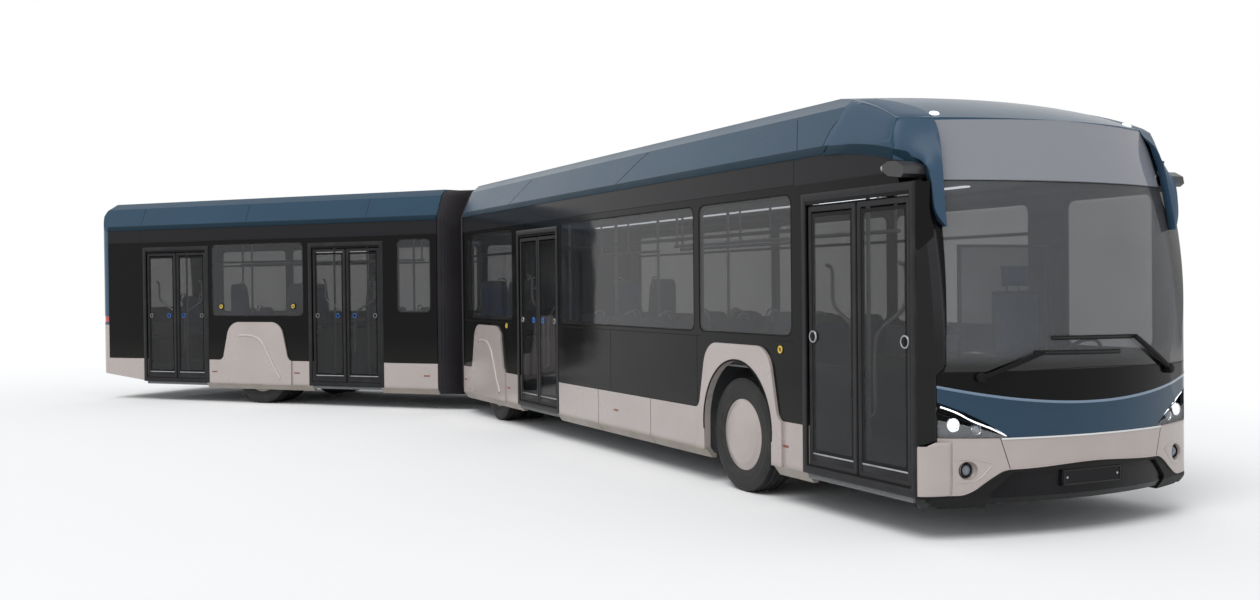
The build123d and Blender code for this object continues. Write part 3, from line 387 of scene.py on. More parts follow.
def vinyl(place):
    fleck = place.noise(260, 2, 0.8).rise(0.56, 0.62)
    wear = place.noise(1.3, 4).rise(0.45, 0.75)
    return {"Base Color": fleck.tint(wear.tint((0.10, 0.105, 0.11), (0.14, 0.14, 0.14)), (0.28, 0.29, 0.30)),
            "Roughness": 0.6 + wear * 0.15, "relief": (fleck, 0.0003)}


def skirt_paint(place):
    low_down = place.axes()[2].rise(0.34, 0.29)
    # Towards the bottom the paint turns a darker olive-grey in patches, rougher and with less coat.
    low_patches = (place.noise(2.1, 5).rise(0.2, 0.8) * 0.6 + 0.7) * low_down
    film = place.noise(1.7, 4).rise(0.35, 0.8)
    clean = film.tint(*CHAMPAGNE)
    footing = low_down * (place.axes()[0] - (SECTION["front"].translation.x + 2.30)).rise(0.0, 0.01)
    olive_toned = (low_patches * 0.55).tint(clean, (0.22, 0.195, 0.15))
    return {"Base Color": footing.tint(olive_toned, (0.006, 0.006, 0.006)),
            "Roughness": 0.27 + film * 0.1 + low_patches * 0.3, "Metallic": 0.12,
            "Coat Weight": 0.5 - low_patches * 0.35, "Coat Roughness": 0.08, "relief": (place.noise(700, 1), 0.0001)}


skirt_finish = finish("skirt_paint", skirt_paint)
dress(skirt_finish, "skirts_front", "skirts_rear")
dress(finish("speckled_vinyl", vinyl), "floor_front", "floor_rear")


# ---- body walls and roofs ----------------------------------------------------------------------
# The walls between skirts and cowl are bonded panels of black enamelled glass and black sheet, all
# glossy. The roofs are petrol-blue metallic sheet with a clear coat; a dark teal edge runs below.
def black_panel(place):
    haze = place.noise(0.9, 4).rise(0.35, 0.8)
    dust = place.noise(30, 3) * place.axes()[2].rise(1.1, 0.6)
    painted_reflection_band = place.axes()[2].rise(2.48, 2.50)          # the panels over the glass are painted lighter, a painted sky reflection
    enamel = painted_reflection_band.tint((0.003, 0.003, 0.003), (0.016, 0.016, 0.018))
    return {"Base Color": dust.tint(enamel, (0.018, 0.017, 0.015)),
            "Roughness": 0.07 + haze * 0.06 + dust * 0.08, "Specular IOR Level": 0.12,
            "relief": (place.noise(1.1, 2), 0.002)}


def flaked(place, film, *tones):
    """Metallic paint, fresh and aged, with fine flakes in the third tone."""
    return place.noise(1400, 1, 0.9).rise(0.5, 0.7).tint(film.tint(*tones[:2]), tones[2])


def petrol_paint(place):
    film = place.noise(0.8, 5).rise(0.35, 0.8)
    # The top of the roof is a lighter, rougher grey in patches.
    dust = place.axes()[2].rise(3.05, 3.17) * place.noise(4, 5)
    base = flaked(place, film, (0.014, 0.046, 0.084), (0.017, 0.053, 0.093), (0.026, 0.074, 0.125))
    return {"Base Color": (dust * 0.4).tint(base, (0.10, 0.12, 0.14)), "Specular IOR Level": 0.18,
            "Roughness": 0.26 + film * 0.08 + dust * 0.25, "Coat Weight": 0.16, "Coat Roughness": 0.12,
            "relief": (place.noise(1.3, 2), 0.0015)}


gloss_black = finish("black_panel_gloss", black_panel)
petrol = finish("petrol_metallic", petrol_paint)
dress(gloss_black, "walls_front", "walls_rear")
dress(petrol, "roof_front", "roof_rear", "nose_panel", "tail_panel")


# ---- windows and windscreen --------------------------------------------------------------------
# Bonded safety glass, tinted grey. The side panes are darker than the windscreen, and the rear
# window lies in the tail panel.
def screen_glass(place):
    z = place.axes()[2]
    haze = place.noise(0.9, 4).rise(0.4, 0.8)
    band = z.rise(2.425, 2.435)          # the destination display's part of the glass, painted a lighter grey as a painted sky reflection
    foot = z.rise(1.30, 1.16)            # black enamel along the lower edge
    shade = band.tint(haze.tint((0.105, 0.109, 0.117), (0.130, 0.135, 0.144)), (0.260, 0.267, 0.300))
    return {"Base Color": foot.tint(shade, (0.004, 0.004, 0.004)), "Roughness": 0.03 + haze * 0.03,
            "Alpha": 0.40 + haze * 0.05 + band * 0.46 + foot * 0.60, "Specular IOR Level": 0.45,
            "relief": (place.noise(0.8, 2), 0.004)}


pane_glass = worn("tinted_glass", (1.6, 4, 0.4, 0.8), {
    "Base Color": ((0.022, 0.023, 0.026), (0.032, 0.034, 0.037)), "Roughness": (0.03, 0.03),
    "Alpha": (0.50, 0.04), "Specular IOR Level": 0.7}, (0.9, 2, 0.003))
dress(pane_glass, "windows_front", "windows_rear", "rear_window")
dress(finish("windscreen_glass", screen_glass), "windscreen")


# ---- joints and lips of the body shells --------------------------------------------------------
# The panels meet in narrow joints filled with black sealant, and the roofs end in a dark teal lip
# that bends down to the windscreen's pillars. All of it lies on the shells' own surface.
class Skin:
    """The outside of a section's CAD nodes, in that section's own frame."""

    def __init__(self, section, *names):
        back, points, faces = SECTION[section].inverted(), [], []
        for name in names:
            mesh, first = nodes[name].data, len(points)
            points += [back @ vert.co for vert in mesh.vertices]
            faces += [[first + vert for vert in face.vertices] for face in mesh.polygons]
        self.tree = BVHTree.FromPolygons(points, faces)

    def lay(self, starts, way, reach=1.0):
        """Where rays from the starts meet the surface within reach, as (point, normal)."""
        laid, way = [], Vector(way)
        for start in starts:
            point, normal, _, _ = self.tree.ray_cast(Vector(start), way, reach)
            if point is not None:
                laid.append((point, normal if normal.dot(way) < 0 else -normal))
        return laid


def fair(points, step=0.03, smooth=True):
    """Points along a line through the given ones, rounded or straight: one for each step or so, or
    where step is a whole number, that many in each stretch."""
    points, run = [Vector(point) for point in points], []
    for index in range(len(points) - 1):
        here, there = points[index], points[index + 1]
        before = points[index - 1] if index else here * 2 - there
        after = points[index + 2] if index + 2 < len(points) else there * 2 - here
        bits = step if isinstance(step, int) else max(1, round((there - here).length / step))
        for bit in range(bits):
            t = bit / bits
            bend = (2 * before - 5 * here + 4 * there - after) * t ** 2 + \
                (3 * here - before - 3 * there + after) * t ** 3
            run.append(0.5 * (2 * here + (there - before) * t + bend) if smooth else here.lerp(there, t))
    return run + [points[-1]]


def teal_paint(place):
    film = place.noise(1.1, 5).rise(0.35, 0.8)
    return {"Base Color": flaked(place, film, (0.005, 0.020, 0.034), (0.006, 0.023, 0.038),
                                 (0.010, 0.032, 0.050)),
            "Roughness": 0.45 + film * 0.1, "Specular IOR Level": 0.1, "relief": (place.noise(1.5, 2), 0.001)}


sealant = worn("panel_sealant", (60, 3, 0.4, 0.8), {
    "Base Color": ((0.004, 0.004, 0.004), (0.016, 0.015, 0.014)), "Roughness": (0.6, 0.3),
    "Specular IOR Level": 0.15}, (900, 1, 0.0001))
teal = finish("teal_lip_paint", teal_paint)
skin = {"front": Skin("front", "roof_front", "walls_front", "skirts_front", "windscreen", "nose_panel",
                      "bumper", "headlamps"),
        "trailer": Skin("trailer", "roof_rear", "walls_rear", "skirts_rear", "tail_panel", "rear_window")}
BOTH = (-1, 1)
CLEAR_Y = 1.9            # beyond the widest point of either side


def on_side(section, side, points, step=0.05, smooth=False, reach=1.0):
    """(point, normal) on a section's side along a line of (x, z)."""
    starts = fair([(x, side * CLEAR_Y, z) for x, z in points], step, smooth)
    return skin[section].lay(starts, (0, -side, 0), reach)


# Middle line of the lip in side view (x, z)
LIPS = {"front": [(-7.405, 2.724), (-3, 2.724), (0.9, 2.724), (1.35, 2.715), (1.75, 2.683), (2.05, 2.633),
                  (2.19, 2.590), (2.26, 2.546)],
        "trailer": [(-6.975, 2.724), (-4, 2.724), (-0.795, 2.724)]}
# Sides, then points (x, z) of each joint
JOINTS = {
    "front": [
        (BOTH, [(-7.4, 1.288), (-5.46, 1.288)]), (BOTH, [(-3.8, 1.288), (-0.60, 1.288)]),
        ((-1,), [(0.62, 1.288), (0.885, 1.288)]), ((-1,), [(-7.4, 2.495), (0.905, 2.492), (0.912, 2.695)]),
        ((1,), [(-7.4, 2.495), (1.9, 2.492)]), (BOTH, [(-0.68, 0.67), (-0.68, 1.288)]),
        (BOTH, [(-2.53, 0.67), (-2.53, 1.288)]), (BOTH, [(-7.4, 0.661), (-7.06, 0.661)]),
        ((1,), [(-5.6, 0.661), (-0.68, 0.661)]), ((-1,), [(-3.88, 0.661), (-0.68, 0.661)]),
        ((1,), [(0.9, 0.661), (2.2, 0.661)]), (BOTH, [(-2.85, 0.225), (-2.85, 0.302), (-2.85, 0.655)]),
        (BOTH, [(-1.62, 0.225), (-1.62, 0.302), (-1.62, 0.655)]),
        (BOTH, [(-2.43, 2.760), (-2.19, 2.887), (-2.035, 2.973), (-1.86, 3.045)]),
        (BOTH, [(0.92, 2.757), (0.86, 2.849), (0.76, 3.02)]),
        (BOTH, [(1.265, 2.754), (1.29, 2.876), (1.37, 2.957), (1.45, 3.02)]),
        (BOTH, [(-5.60, 2.760), (-5.36, 2.887), (-5.03, 3.045)])],
    "trailer": [
        (BOTH, [(-6.95, 1.295), (-6.29, 1.295)]), (BOTH, [(-4.85, 1.295), (-4.60, 1.295)]),
        (BOTH, [(-3.40, 1.295), (-3.08, 1.295)]), (BOTH, [(-1.63, 1.295), (-0.8, 1.295)]),
        (BOTH, [(-6.70, 0.67), (-6.70, 1.29)]), (BOTH, [(-6.95, 2.495), (-6.28, 2.495)]),
        (BOTH, [(-6.28, 2.495), (-6.28, 2.695)]), (BOTH, [(-4.87, 2.495), (-3.07, 2.495)]),
        (BOTH, [(-1.62, 2.495), (-0.8, 2.495)]), (BOTH, [(-6.95, 0.661), (-6.29, 0.661)]),
        (BOTH, [(-1.63, 0.661), (-0.8, 0.661)]), (BOTH, [(-4.2, 2.760), (-4.2, 3.035)]),
        (BOTH, [(-2.0, 2.760), (-2.0, 3.035)]), (BOTH, [(-6.3, 2.760), (-6.3, 3.035)])],
}
for section in SECTION:
    lips, joints = Form(), Form()
    for side in BOTH:
        lips.strip(on_side(section, side, LIPS[section], 0.08, True), 0.074, 0.007)
    lips.done(f"cowl_lip_{section}", teal, section, "petrol_paint")
    for sides, line in JOINTS[section]:
        for side in sides:
            joints.strip(on_side(section, side, line), 0.006, 0.0012)
    joints.done(f"panel_joints_{section}", sealant, section, "black_plastic")


# ---- window frames -----------------------------------------------------------------------------
# Each pane sits flush in a moulded rubber seal, and behind it runs an aluminium frame with a dark
# coat. Wide panes have a narrow tilting part over a rail near the top.
WINDOWS = [
    ("front", -1, -7.05, -5.44, 1.33), ("front", -1, -3.87, -0.73, 1.33), ("front", -1, -0.63, 0.86, 1.33),
    ("front", 1, -7.05, -5.30, 1.33), ("front", 1, -5.20, -3.45, 1.33), ("front", 1, -3.35, -1.25, 1.33),
    ("front", 1, -1.15, 0.75, 1.33), ("front", 1, 1.15, 2.08, 1.18), ("trailer", -1, -1.46, -0.89, 1.38),
    ("trailer", -1, -4.85, -3.11, 1.33), ("trailer", 1, -1.46, -0.89, 1.38), ("trailer", 1, -3.60, -1.60, 1.33),
    ("trailer", 1, -5.35, -3.70, 1.33), ("trailer", 1, -6.90, -5.45, 1.33)]
HEAD_Z, WIDE_PANE = 2.43, 1.3


def of(owner, rows):
    """The rows of a table whose first entry is the owner, without that entry."""
    return [row[1:] for row in rows if row[0] == owner]


def frame_coat(place):
    fine = place.noise(500, 2).rise(0.3, 0.7)
    dust = place.noise(6, 5).rise(0.4, 0.8)
    return {"Base Color": dust.tint((0.014, 0.014, 0.016), (0.026, 0.026, 0.026)),
            "Roughness": 0.34 + fine * 0.12 + dust * 0.1, "Specular IOR Level": 0.2,
            "relief": (place.noise(1200, 1), 0.0001)}


frame_finish = finish("dark_aluminium", frame_coat)
for section in SECTION:
    seals, frames = Form(), Form()
    for side, first, last, sill in of(section, WINDOWS):
        seals.rim((first - 0.006, last + 0.006), (sill - 0.006, HEAD_Z + 0.006), 0.076,
                  [(0, 1.2752), (0.002, 1.2762), (0.010, 1.2762), (0.013, 1.2745), (0.013, 1.272), (0, 1.272)], side)
        frames.rim((first + 0.001, last - 0.001), (sill + 0.001, HEAD_Z - 0.001), 0.069,
                   [(0, 1.262), (0, 1.237), (0.020, 1.237), (0.026, 1.242), (0.026, 1.262)], side)
        if last - first > WIDE_PANE:
            frames.box((first + 0.02, side * 1.262, 2.135), (last - 0.02, side * 1.240, 2.165), 0.004)
    seals.done(f"window_seals_{section}", sealant, section, "black_plastic")
    frames.done(f"window_frames_{section}", frame_finish, section, "door_frame")


# ---- doors -------------------------------------------------------------------------------------
# Four doorways with a pair of inward-swinging leaves each: dark aluminium frames with glass nearly
# from top to bottom, a rubber lip where they meet, a grab bar inside and ringed push buttons.
DOORWAYS = {"door_1": ("front", 1.062, 2.312), "door_2": ("front", -5.210, -4.000),
            "door_3": ("trailer", -2.960, -1.750), "door_4": ("trailer", -6.180, -4.970)}
LEAF_Z, HINGE_IN = (0.352, 2.323), 0.029
PANE_Z, BAR_Y = (0.462, 2.262), -1.163


def enamel(place):
    speck = place.noise(350, 2).rise(0.6, 0.7)
    haze = place.noise(4, 4).rise(0.35, 0.8)
    return {"Base Color": speck.tint((0.004, 0.004, 0.004), (0.010, 0.010, 0.010)),
            "Roughness": 0.12 + haze * 0.12, "Specular IOR Level": 0.12, "relief": (place.noise(2, 2), 0.0005)}


def brushed(place):
    lines = place.node("TexNoise", {}, {"Vector": place.node("Mapping", {}, {0: place, 3: (4, 4, 900)}),
                                        "Scale": 1.0, "Detail": 3})
    wear = place.noise(7, 4).rise(0.4, 0.8)
    return {"Base Color": wear.tint((0.42, 0.43, 0.44), (0.30, 0.30, 0.31)), "Metallic": 0.85,
            "Roughness": 0.26 + lines * 0.15 + wear * 0.1, "relief": (lines, 0.0001)}


door_pane = worn("door_glass", (1.9, 4, 0.4, 0.8), {
    "Base Color": ((0.010, 0.011, 0.012), (0.016, 0.017, 0.018)), "Roughness": (0.03, 0.04),
    "Alpha": (0.46, 0.04), "Specular IOR Level": 0.5}, (0.9, 2, 0.002))
black_enamel = finish("black_enamel", enamel)
metal = finish("brushed_steel", brushed)
blue_ring = worn("button_ring_blue", (90, 4, 0.4, 0.8), {
    "Base Color": ((0.02, 0.13, 0.42), (0.03, 0.17, 0.46)), "Roughness": (0.3, 0.2),
    "Emission Color": (0.02, 0.15, 0.5), "Emission Strength": 0.35}, (700, 1, 0.0001))
for doorway, (section, first, last) in DOORWAYS.items():
    Form().rim((first - 0.058, last + 0.057), (0.300, 2.412), 0.012,
               [(0, 1.268), (0, 1.2775), (0.004, 1.2805), (0.050, 1.2805), (0.0565, 1.2775), (0.0565, 1.245)]).done(
        f"{doorway}_portal", frame_finish, section, "door_frame")
    Form().rim((first - 0.0015, last + 0.0015), (0.358, 2.3365), 0.010,
               [(0, 1.2765), (0.004, 1.2785), (0.0075, 1.2765), (0.006, 1.264), (0, 1.264)]).box(
        (first, -1.245, 0.302), (last, -1.268, 0.338), 0.006).done(
        f"{doorway}_seal", sealant, section, "black_plastic")
    middle = (first + last) / 2
    for suffix, way in (("rear", 1), ("front", -1)):
        hinge = first + HINGE_IN if way > 0 else last - HINGE_IN
        edge = middle - way * 0.006
        post = hinge - way * 0.020
        span = sorted((post, edge))
        leaf = f"{doorway}_{suffix}_leaf"
        form = Form().rim(span, LEAF_Z, 0.006, [
            (0.0, 1.247), (0.004, 1.256), (0.009, 1.261), (0.040, 1.261), (0.046, 1.258), (0.046, 1.224),
            (0.042, 1.221), (0.010, 1.221), (0.004, 1.226), (0, 1.235)])
        form.box((span[0] + 0.044, -1.2575, 0.395), (span[1] - 0.044, -1.224, PANE_Z[0]), 0.003)
        for pin in ((0.274, 0.36), (2.31, 2.378)):
            form.tube([(hinge, -1.241, z) for z in pin], 0.0118, 16)
        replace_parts(form.done(f"{leaf}_frame", frame_finish, section, "door_frame", leaf), leaf)
        glazed = (span[0] + 0.045, span[1] - 0.045)
        Form().rim(glazed, (PANE_Z[0] - 0.002, PANE_Z[1]), 0.014,
                   [(0, 1.2555), (0, 1.2495), (0.0275, 1.2495), (0.0275, 1.2555)]).done(
            f"{leaf}_glass_border", black_enamel, section, "tinted_glass", leaf)
        marks = oblong((glazed[0] + 0.026, glazed[1] - 0.026), (PANE_Z[0] + 0.024, PANE_Z[1] - 0.026), 0.02)
        Form().grid([[(x, -out, z) for x, z, _, _ in marks] for out in (1.2550, 1.2500)], True, True).done(
            f"{leaf}_glass", door_pane, section, "tinted_glass", leaf)
        Form().box((glazed[0] + 0.004, -1.2612, 0.450), (glazed[1] - 0.004, -1.2572, 0.462), 0.0015).done(
            f"{leaf}_kick_strip", metal, section, "steel", leaf)
        Form().tube([(edge + way * 0.001, -1.254, z) for z in (LEAF_Z[0] + 0.004, LEAF_Z[1] - 0.004)],
                    0.0035, 8).done(f"{leaf}_lip", sealant, section, "black_plastic", leaf)
        inner, outer = edge - way * 0.075, edge - way * 0.40
        bar = [(inner, -1.222, 0.78), (inner, -1.178, 0.80), (inner, BAR_Y, 0.86), (inner, BAR_Y, 1.25),
               (inner - way * 0.06, BAR_Y, 1.40), (outer, BAR_Y, 1.56)]
        bar += [(outer - way * 0.03, y, z) for y, z in
                ((BAR_Y, 1.70), (BAR_Y, 1.82), (-1.178, 1.86), (-1.222, 1.875))]
        Form().tube(fair(bar, 0.035), 0.0145, 10).done(f"{leaf}_grab_bar", metal, section, "rail", leaf)
        if doorway == "door_1":
            radius, face, buttons = 0.048, -1.2605, [(hinge + way * 0.045, metal)]
        else:
            radius, face, buttons = 0.032, -1.2545, [(hinge + way * 0.068, metal), (edge - way * 0.144, blue_ring)]
        for number, (x, ring) in enumerate(buttons):
            base = (x, face, 1.338)
            Form().lathe([(0.0, -0.0105), (radius * 0.62, -0.0100), (radius * 0.70, -0.0075),
                          (radius * 0.74, 0.0)], base, steps=32).done(
                f"{leaf}_button_{number}", black_enamel, section, "black_plastic", leaf)
            Form().lathe([(radius * 0.74, 0.0), (radius * 0.74, -0.009), (radius * 0.80, -0.0115),
                          (radius * 0.92, -0.0105), (radius, -0.004), (radius, 0.0)], base, steps=32).done(
                f"{leaf}_button_{number}_ring", ring, section, "steel", leaf)


# ---- nose: pillar, painted band, bumper and its fittings ---------------------------------------
# Below the windscreen the moulded nose is gloss black down to a bead, petrol blue under it, and ends
# at a pale moulding over the champagne bumper. A black cover closes the corner behind the front door.
NOSE_Y = SECTION["front"].translation.y
AHEAD_X = 3.1            # ahead of the nose


def nose_paint(place):
    _, y, z = place.axes()
    outward = y - NOSE_Y
    black = (z - outward * outward * 0.098).rise(0.911, 0.913)
    film = place.noise(1.1, 5).rise(0.35, 0.8)
    blue = flaked(place, film, (0.012, 0.040, 0.074), (0.015, 0.046, 0.082), (0.024, 0.066, 0.112))
    foot = (z - 0.0204 * (abs(outward) - 0.66)).rise(0.697, 0.693) * abs(outward).rise(0.738, 0.748)
    band = foot.tint(blue, (0.42, 0.365, 0.345))
    return {"Base Color": black.tint(band, (0.004, 0.004, 0.004)), "Roughness": 0.30 + film * 0.08 - black * 0.18,
            "Specular IOR Level": 0.11, "Coat Weight": 0.35 - black * 0.35, "Coat Roughness": 0.05,
            "relief": (place.noise(1.3, 2), 0.0015)}


def bumper_paint(place):
    _, y, z = place.axes()
    outward = abs(y - NOSE_Y)
    edge = 0.316 + outward.rise(1.02, 0.67) * 0.165 + outward.rise(0.66, 0.0) * 0.026
    lower = (z - edge).rise(0.002, -0.002)
    film = place.noise(1.7, 4).rise(0.35, 0.8)
    return {"Base Color": lower.tint(film.tint(*CHAMPAGNE), (0.006, 0.006, 0.006)),
            "Roughness": 0.27 + film * 0.1 + lower * 0.3, "Coat Weight": 0.5 - lower * 0.5,
            "Coat Roughness": 0.08, "Specular IOR Level": 0.22, "relief": (place.noise(700, 1), 0.0001)}


plastic = worn("moulded_black_plastic", (12, 5, 0.4, 0.8), {
    "Base Color": ((0.008, 0.008, 0.009), (0.024, 0.023, 0.022)), "Roughness": (0.42, 0.25),
    "Specular IOR Level": 0.3}, (900, 0.0002))
bumper_finish = finish("bumper_paint", bumper_paint)
gloss_grey = worn("spoiler_gloss", (3, 4, 0.35, 0.8), {
    "Base Color": ((0.005, 0.005, 0.006), (0.009, 0.009, 0.010)), "Roughness": (0.22, 0.14),
    "Specular IOR Level": 0.16}, (2, 2, 0.0008))
# The bead's lighter blue is a painted highlight along its raised crest.
bead = worn("bead_painted_highlight", (2, 5, 0.35, 0.8), {
    "Base Color": ((0.12, 0.19, 0.28), (0.15, 0.22, 0.31)), "Metallic": 0.4, "Roughness": (0.22, 0.1),
    "Coat Weight": 1.0}, (3, 2, 0.0004))
pale = worn("pale_moulding", (3, 5, 0.35, 0.8), {
    "Base Color": ((0.74, 0.74, 0.74), (0.66, 0.65, 0.64)), "Roughness": (0.25, 0.15)}, (500, 1, 0.0001))
dress(finish("nose_band_paint", nose_paint), "nose_panel")
dress(bumper_finish, "bumper")
dress(gloss_grey, "spoiler")
dress(plastic, "wipers")
dress(chassis, "tow_jaw")


def on_nose(points, lift=0.0, step=0.04, smooth=True):
    """(point, normal) on the nose along a line of (y, z), seen from ahead."""
    laid = skin["front"].lay(fair([(AHEAD_X, y, z) for y, z in points], step, smooth), (-1, 0, 0), 1.6)
    return [(point + normal * lift, normal) for point, normal in laid]


half = [(y, 0.912 + 0.098 * y * y) for y in (0.0, 0.3, 0.6, 0.85, 1.05, 1.17)]
Form().strip(on_nose([(-y, z) for y, z in half[::-1]] + half[1:]), 0.018, 0.004).done(
    "nose_band_bead", bead, "front", "petrol_paint")
Form().strip(on_nose([(-0.735, 0.687), (0, 0.687), (0.735, 0.687)]), 0.012, 0.005).done(
    "nose_band_moulding", pale, "front", "beige_paint")
# Joints of the nose: width, then points (y, z) of the ones on both sides, and of the ones across
SIDE_JOINTS = [(0.005, [(0.738, 0.678), (0.712, 0.600), (0.672, 0.475)]),
               (0.005, [(1.215, 1.165), (1.13, 1.139), (1.0, 1.130), (0.7, 1.134)]),
               (0.004, [(1.22, 1.083), (1.155, 1.058)])]
CROSS_JOINTS = [(0.005, [(-0.7, 1.134), (0, 1.148), (0.7, 1.134)]),
                (0.006, [(-1.035, 2.425), (0, 2.421), (1.035, 2.425)])]
form = Form()
both_sides = [(width, [(side * y, z) for y, z in line]) for side in BOTH for width, line in SIDE_JOINTS]
for width, line in both_sides + CROSS_JOINTS:
    form.strip(on_nose(line), width, 0.001)
form.done("nose_joints", sealant, "front", "black_plastic")
# A covered arm and a rubber blade lie over each wiper's rod: (y, z) of root, elbow and blade's ends
WIPERS = [((-0.880, 1.100), (-0.440, 1.262), (-0.500, 1.258), (0.250, 1.246)),
          ((0.830, 1.100), (0.390, 1.348), (0.430, 1.346), (-0.360, 1.354))]
form = Form()
for root, elbow, *ends in WIPERS:
    form.strip(on_nose([root, elbow], 0.028), 0.030, 0.010)
    form.strip(on_nose(ends), 0.030, 0.008)
    form.lathe([(0.034, 0.0), (0.034, 0.034), (0.027, 0.042), (0.0, 0.044)], *on_nose([root, elbow])[0], 28)
form.done("wiper_blades", sealant, "front", "black_plastic")
# The bumper's rolled lower edge: (y, z) from its corner to the middle
ROLLED = [(1.10, 0.316), (1.02, 0.318), (0.945, 0.335), (0.881, 0.366), (0.78, 0.430), (0.70, 0.474),
          (0.62, 0.483), (0.38, 0.492), (0.0, 0.507)]
Form().strip(on_nose([(-y, z) for y, z in ROLLED] + ROLLED[-2::-1]), 0.012, 0.005).done(
    "bumper_rolled_edge", bumper_finish, "front", "beige_paint")


# The cover runs from the door's front post round to the windscreen's edge; its inner part is the
# glass's own enamelled border, painted a little lighter as a painted reflection on the glass
def corner_gloss(place):
    _, y, z = place.axes()
    haze = place.noise(5, 5).rise(0.35, 0.8)
    glass_reflection_strip = (y - (NOSE_Y - 1.18)).rise(-0.004, 0.004) * (z - 1.40).rise(-0.15, 0.25)
    return {"Base Color": (glass_reflection_strip * (haze * 0.3 + 0.7)).tint((0.004, 0.004, 0.004), (0.018, 0.018, 0.021)),
            "Roughness": 0.06 + haze * 0.06, "Specular IOR Level": 0.25, "relief": (place.noise(3, 2), 0.0004)}


def round_corner(inner, z, lift):
    """A rounded row from the door's front post to the hull at inner metres off the centre line."""
    rows = [[(inner, z), (inner - 0.03, z)], [(inner - 0.03, z), (inner - 0.06, z)]]
    (end, _), (before, _) = [on_nose(row, lift, 1)[0] for row in rows]
    slope = (before.x - end.x) / 0.03
    corner = Vector((min(end.x - slope * (1.262 - inner) * 0.45, end.x), 1.268, z))
    post = Vector((2.3715, 1.2765, z))
    row = [post * (1 - t) ** 2 + corner * 2 * t * (1 - t) + end * t * t for t in [part / 12 for part in range(13)]]
    return [Vector((point.x, -point.y, z)) for point in row]


rows = [round_corner(1.15 - 0.055 * min(1, max(0, (z - 1.12) / 0.05)), z, 0.001)
        for z in [0.640 + step * 0.03 for step in range(53)]]
while rows[-1][0].z < 2.40:
    rows.append([here * 2 - before for here, before in zip(rows[-1], rows[-2])])
Form().grid(rows).done("pillar_cover_right", finish("corner_gloss", corner_gloss), "front", "black_panel", thick=0.0015)
rows = [round_corner(1.06, 0.300 + step * (0.676 - 0.300) / 12, 0.0012) for step in range(13)]
for part, point in enumerate(rows[-1]):
    point.z -= 0.028 * (1 - min(1.0, max(0.0, (part - 5) / 3)))
Form().grid(rows).done("bumper_corner_right", bumper_finish, "front", "beige_paint", thick=0.003)


# ---- cowls and pillar blades -------------------------------------------------------------------
# Either front corner of the roof is one pressed petrol panel. It leaves the roof's side above the lip,
# turns round the corner and runs out as a pointed blade that stands off the windscreen's pillar.
# (x, y, z) along its lower and outer edge, then its upper and inner edge
COWL = [((1.275, 1.275, 2.748), (1.470, 0.930, 3.105)), ((1.45, 1.275, 2.736), (1.580, 0.930, 3.085)),
        ((1.62, 1.275, 2.722), (1.700, 0.930, 3.062)), ((1.78, 1.275, 2.704), (1.810, 0.935, 3.035)),
        ((1.93, 1.275, 2.682), (1.920, 0.940, 3.005)), ((2.06, 1.275, 2.655), (2.030, 0.948, 2.965)),
        ((2.18, 1.215, 2.617), (2.130, 0.960, 2.910)), ((2.27, 1.165, 2.572), (2.220, 0.978, 2.835)),
        ((2.340, 1.146, 2.510), (2.295, 1.008, 2.735)), ((2.372, 1.143, 2.425), (2.350, 1.034, 2.600)),
        ((2.388, 1.140, 2.325), (2.380, 1.046, 2.450)), ((2.398, 1.134, 2.235), (2.402, 1.054, 2.310)),
        ((2.412, 1.108, 2.168), (2.420, 1.060, 2.205)), ((2.432, 1.066, 2.108), (2.434, 1.062, 2.112))]
ACROSS, BITS = 16, 5
FREE = 7 * BITS          # where the blade leaves the shell


def out_of(point):
    """The way out of the body at a point of the cowl."""
    return (point - Vector((min(point.x, 1.75), 0.45, 2.35))).normalized()


def on_shell(point, side, lift):
    """The spot on the body's shell under a point of the cowl, on either side."""
    way = out_of(point)
    start = point + way * 0.4
    spot, _ = skin["front"].lay([(start.x, side * start.y, start.z)], (-way.x, -side * way.y, -way.z))[0]
    return Vector((spot.x, abs(spot.y), spot.z)) + way * lift


# The cowl's base colour is a lighter copy of the petrol paint, a painted sheen in place of the gloss taken off it.
def painted_sheen_cowl_paint(place):
    film = place.noise(0.9, 4).rise(0.35, 0.8)
    return {**petrol_paint(place), "Base Color": film.tint((0.030, 0.066, 0.112), (0.034, 0.072, 0.120)),
            "Roughness": 0.46 + film * 0.08, "Specular IOR Level": 0.2, "Coat Weight": 0.1, "Coat Roughness": 0.35}


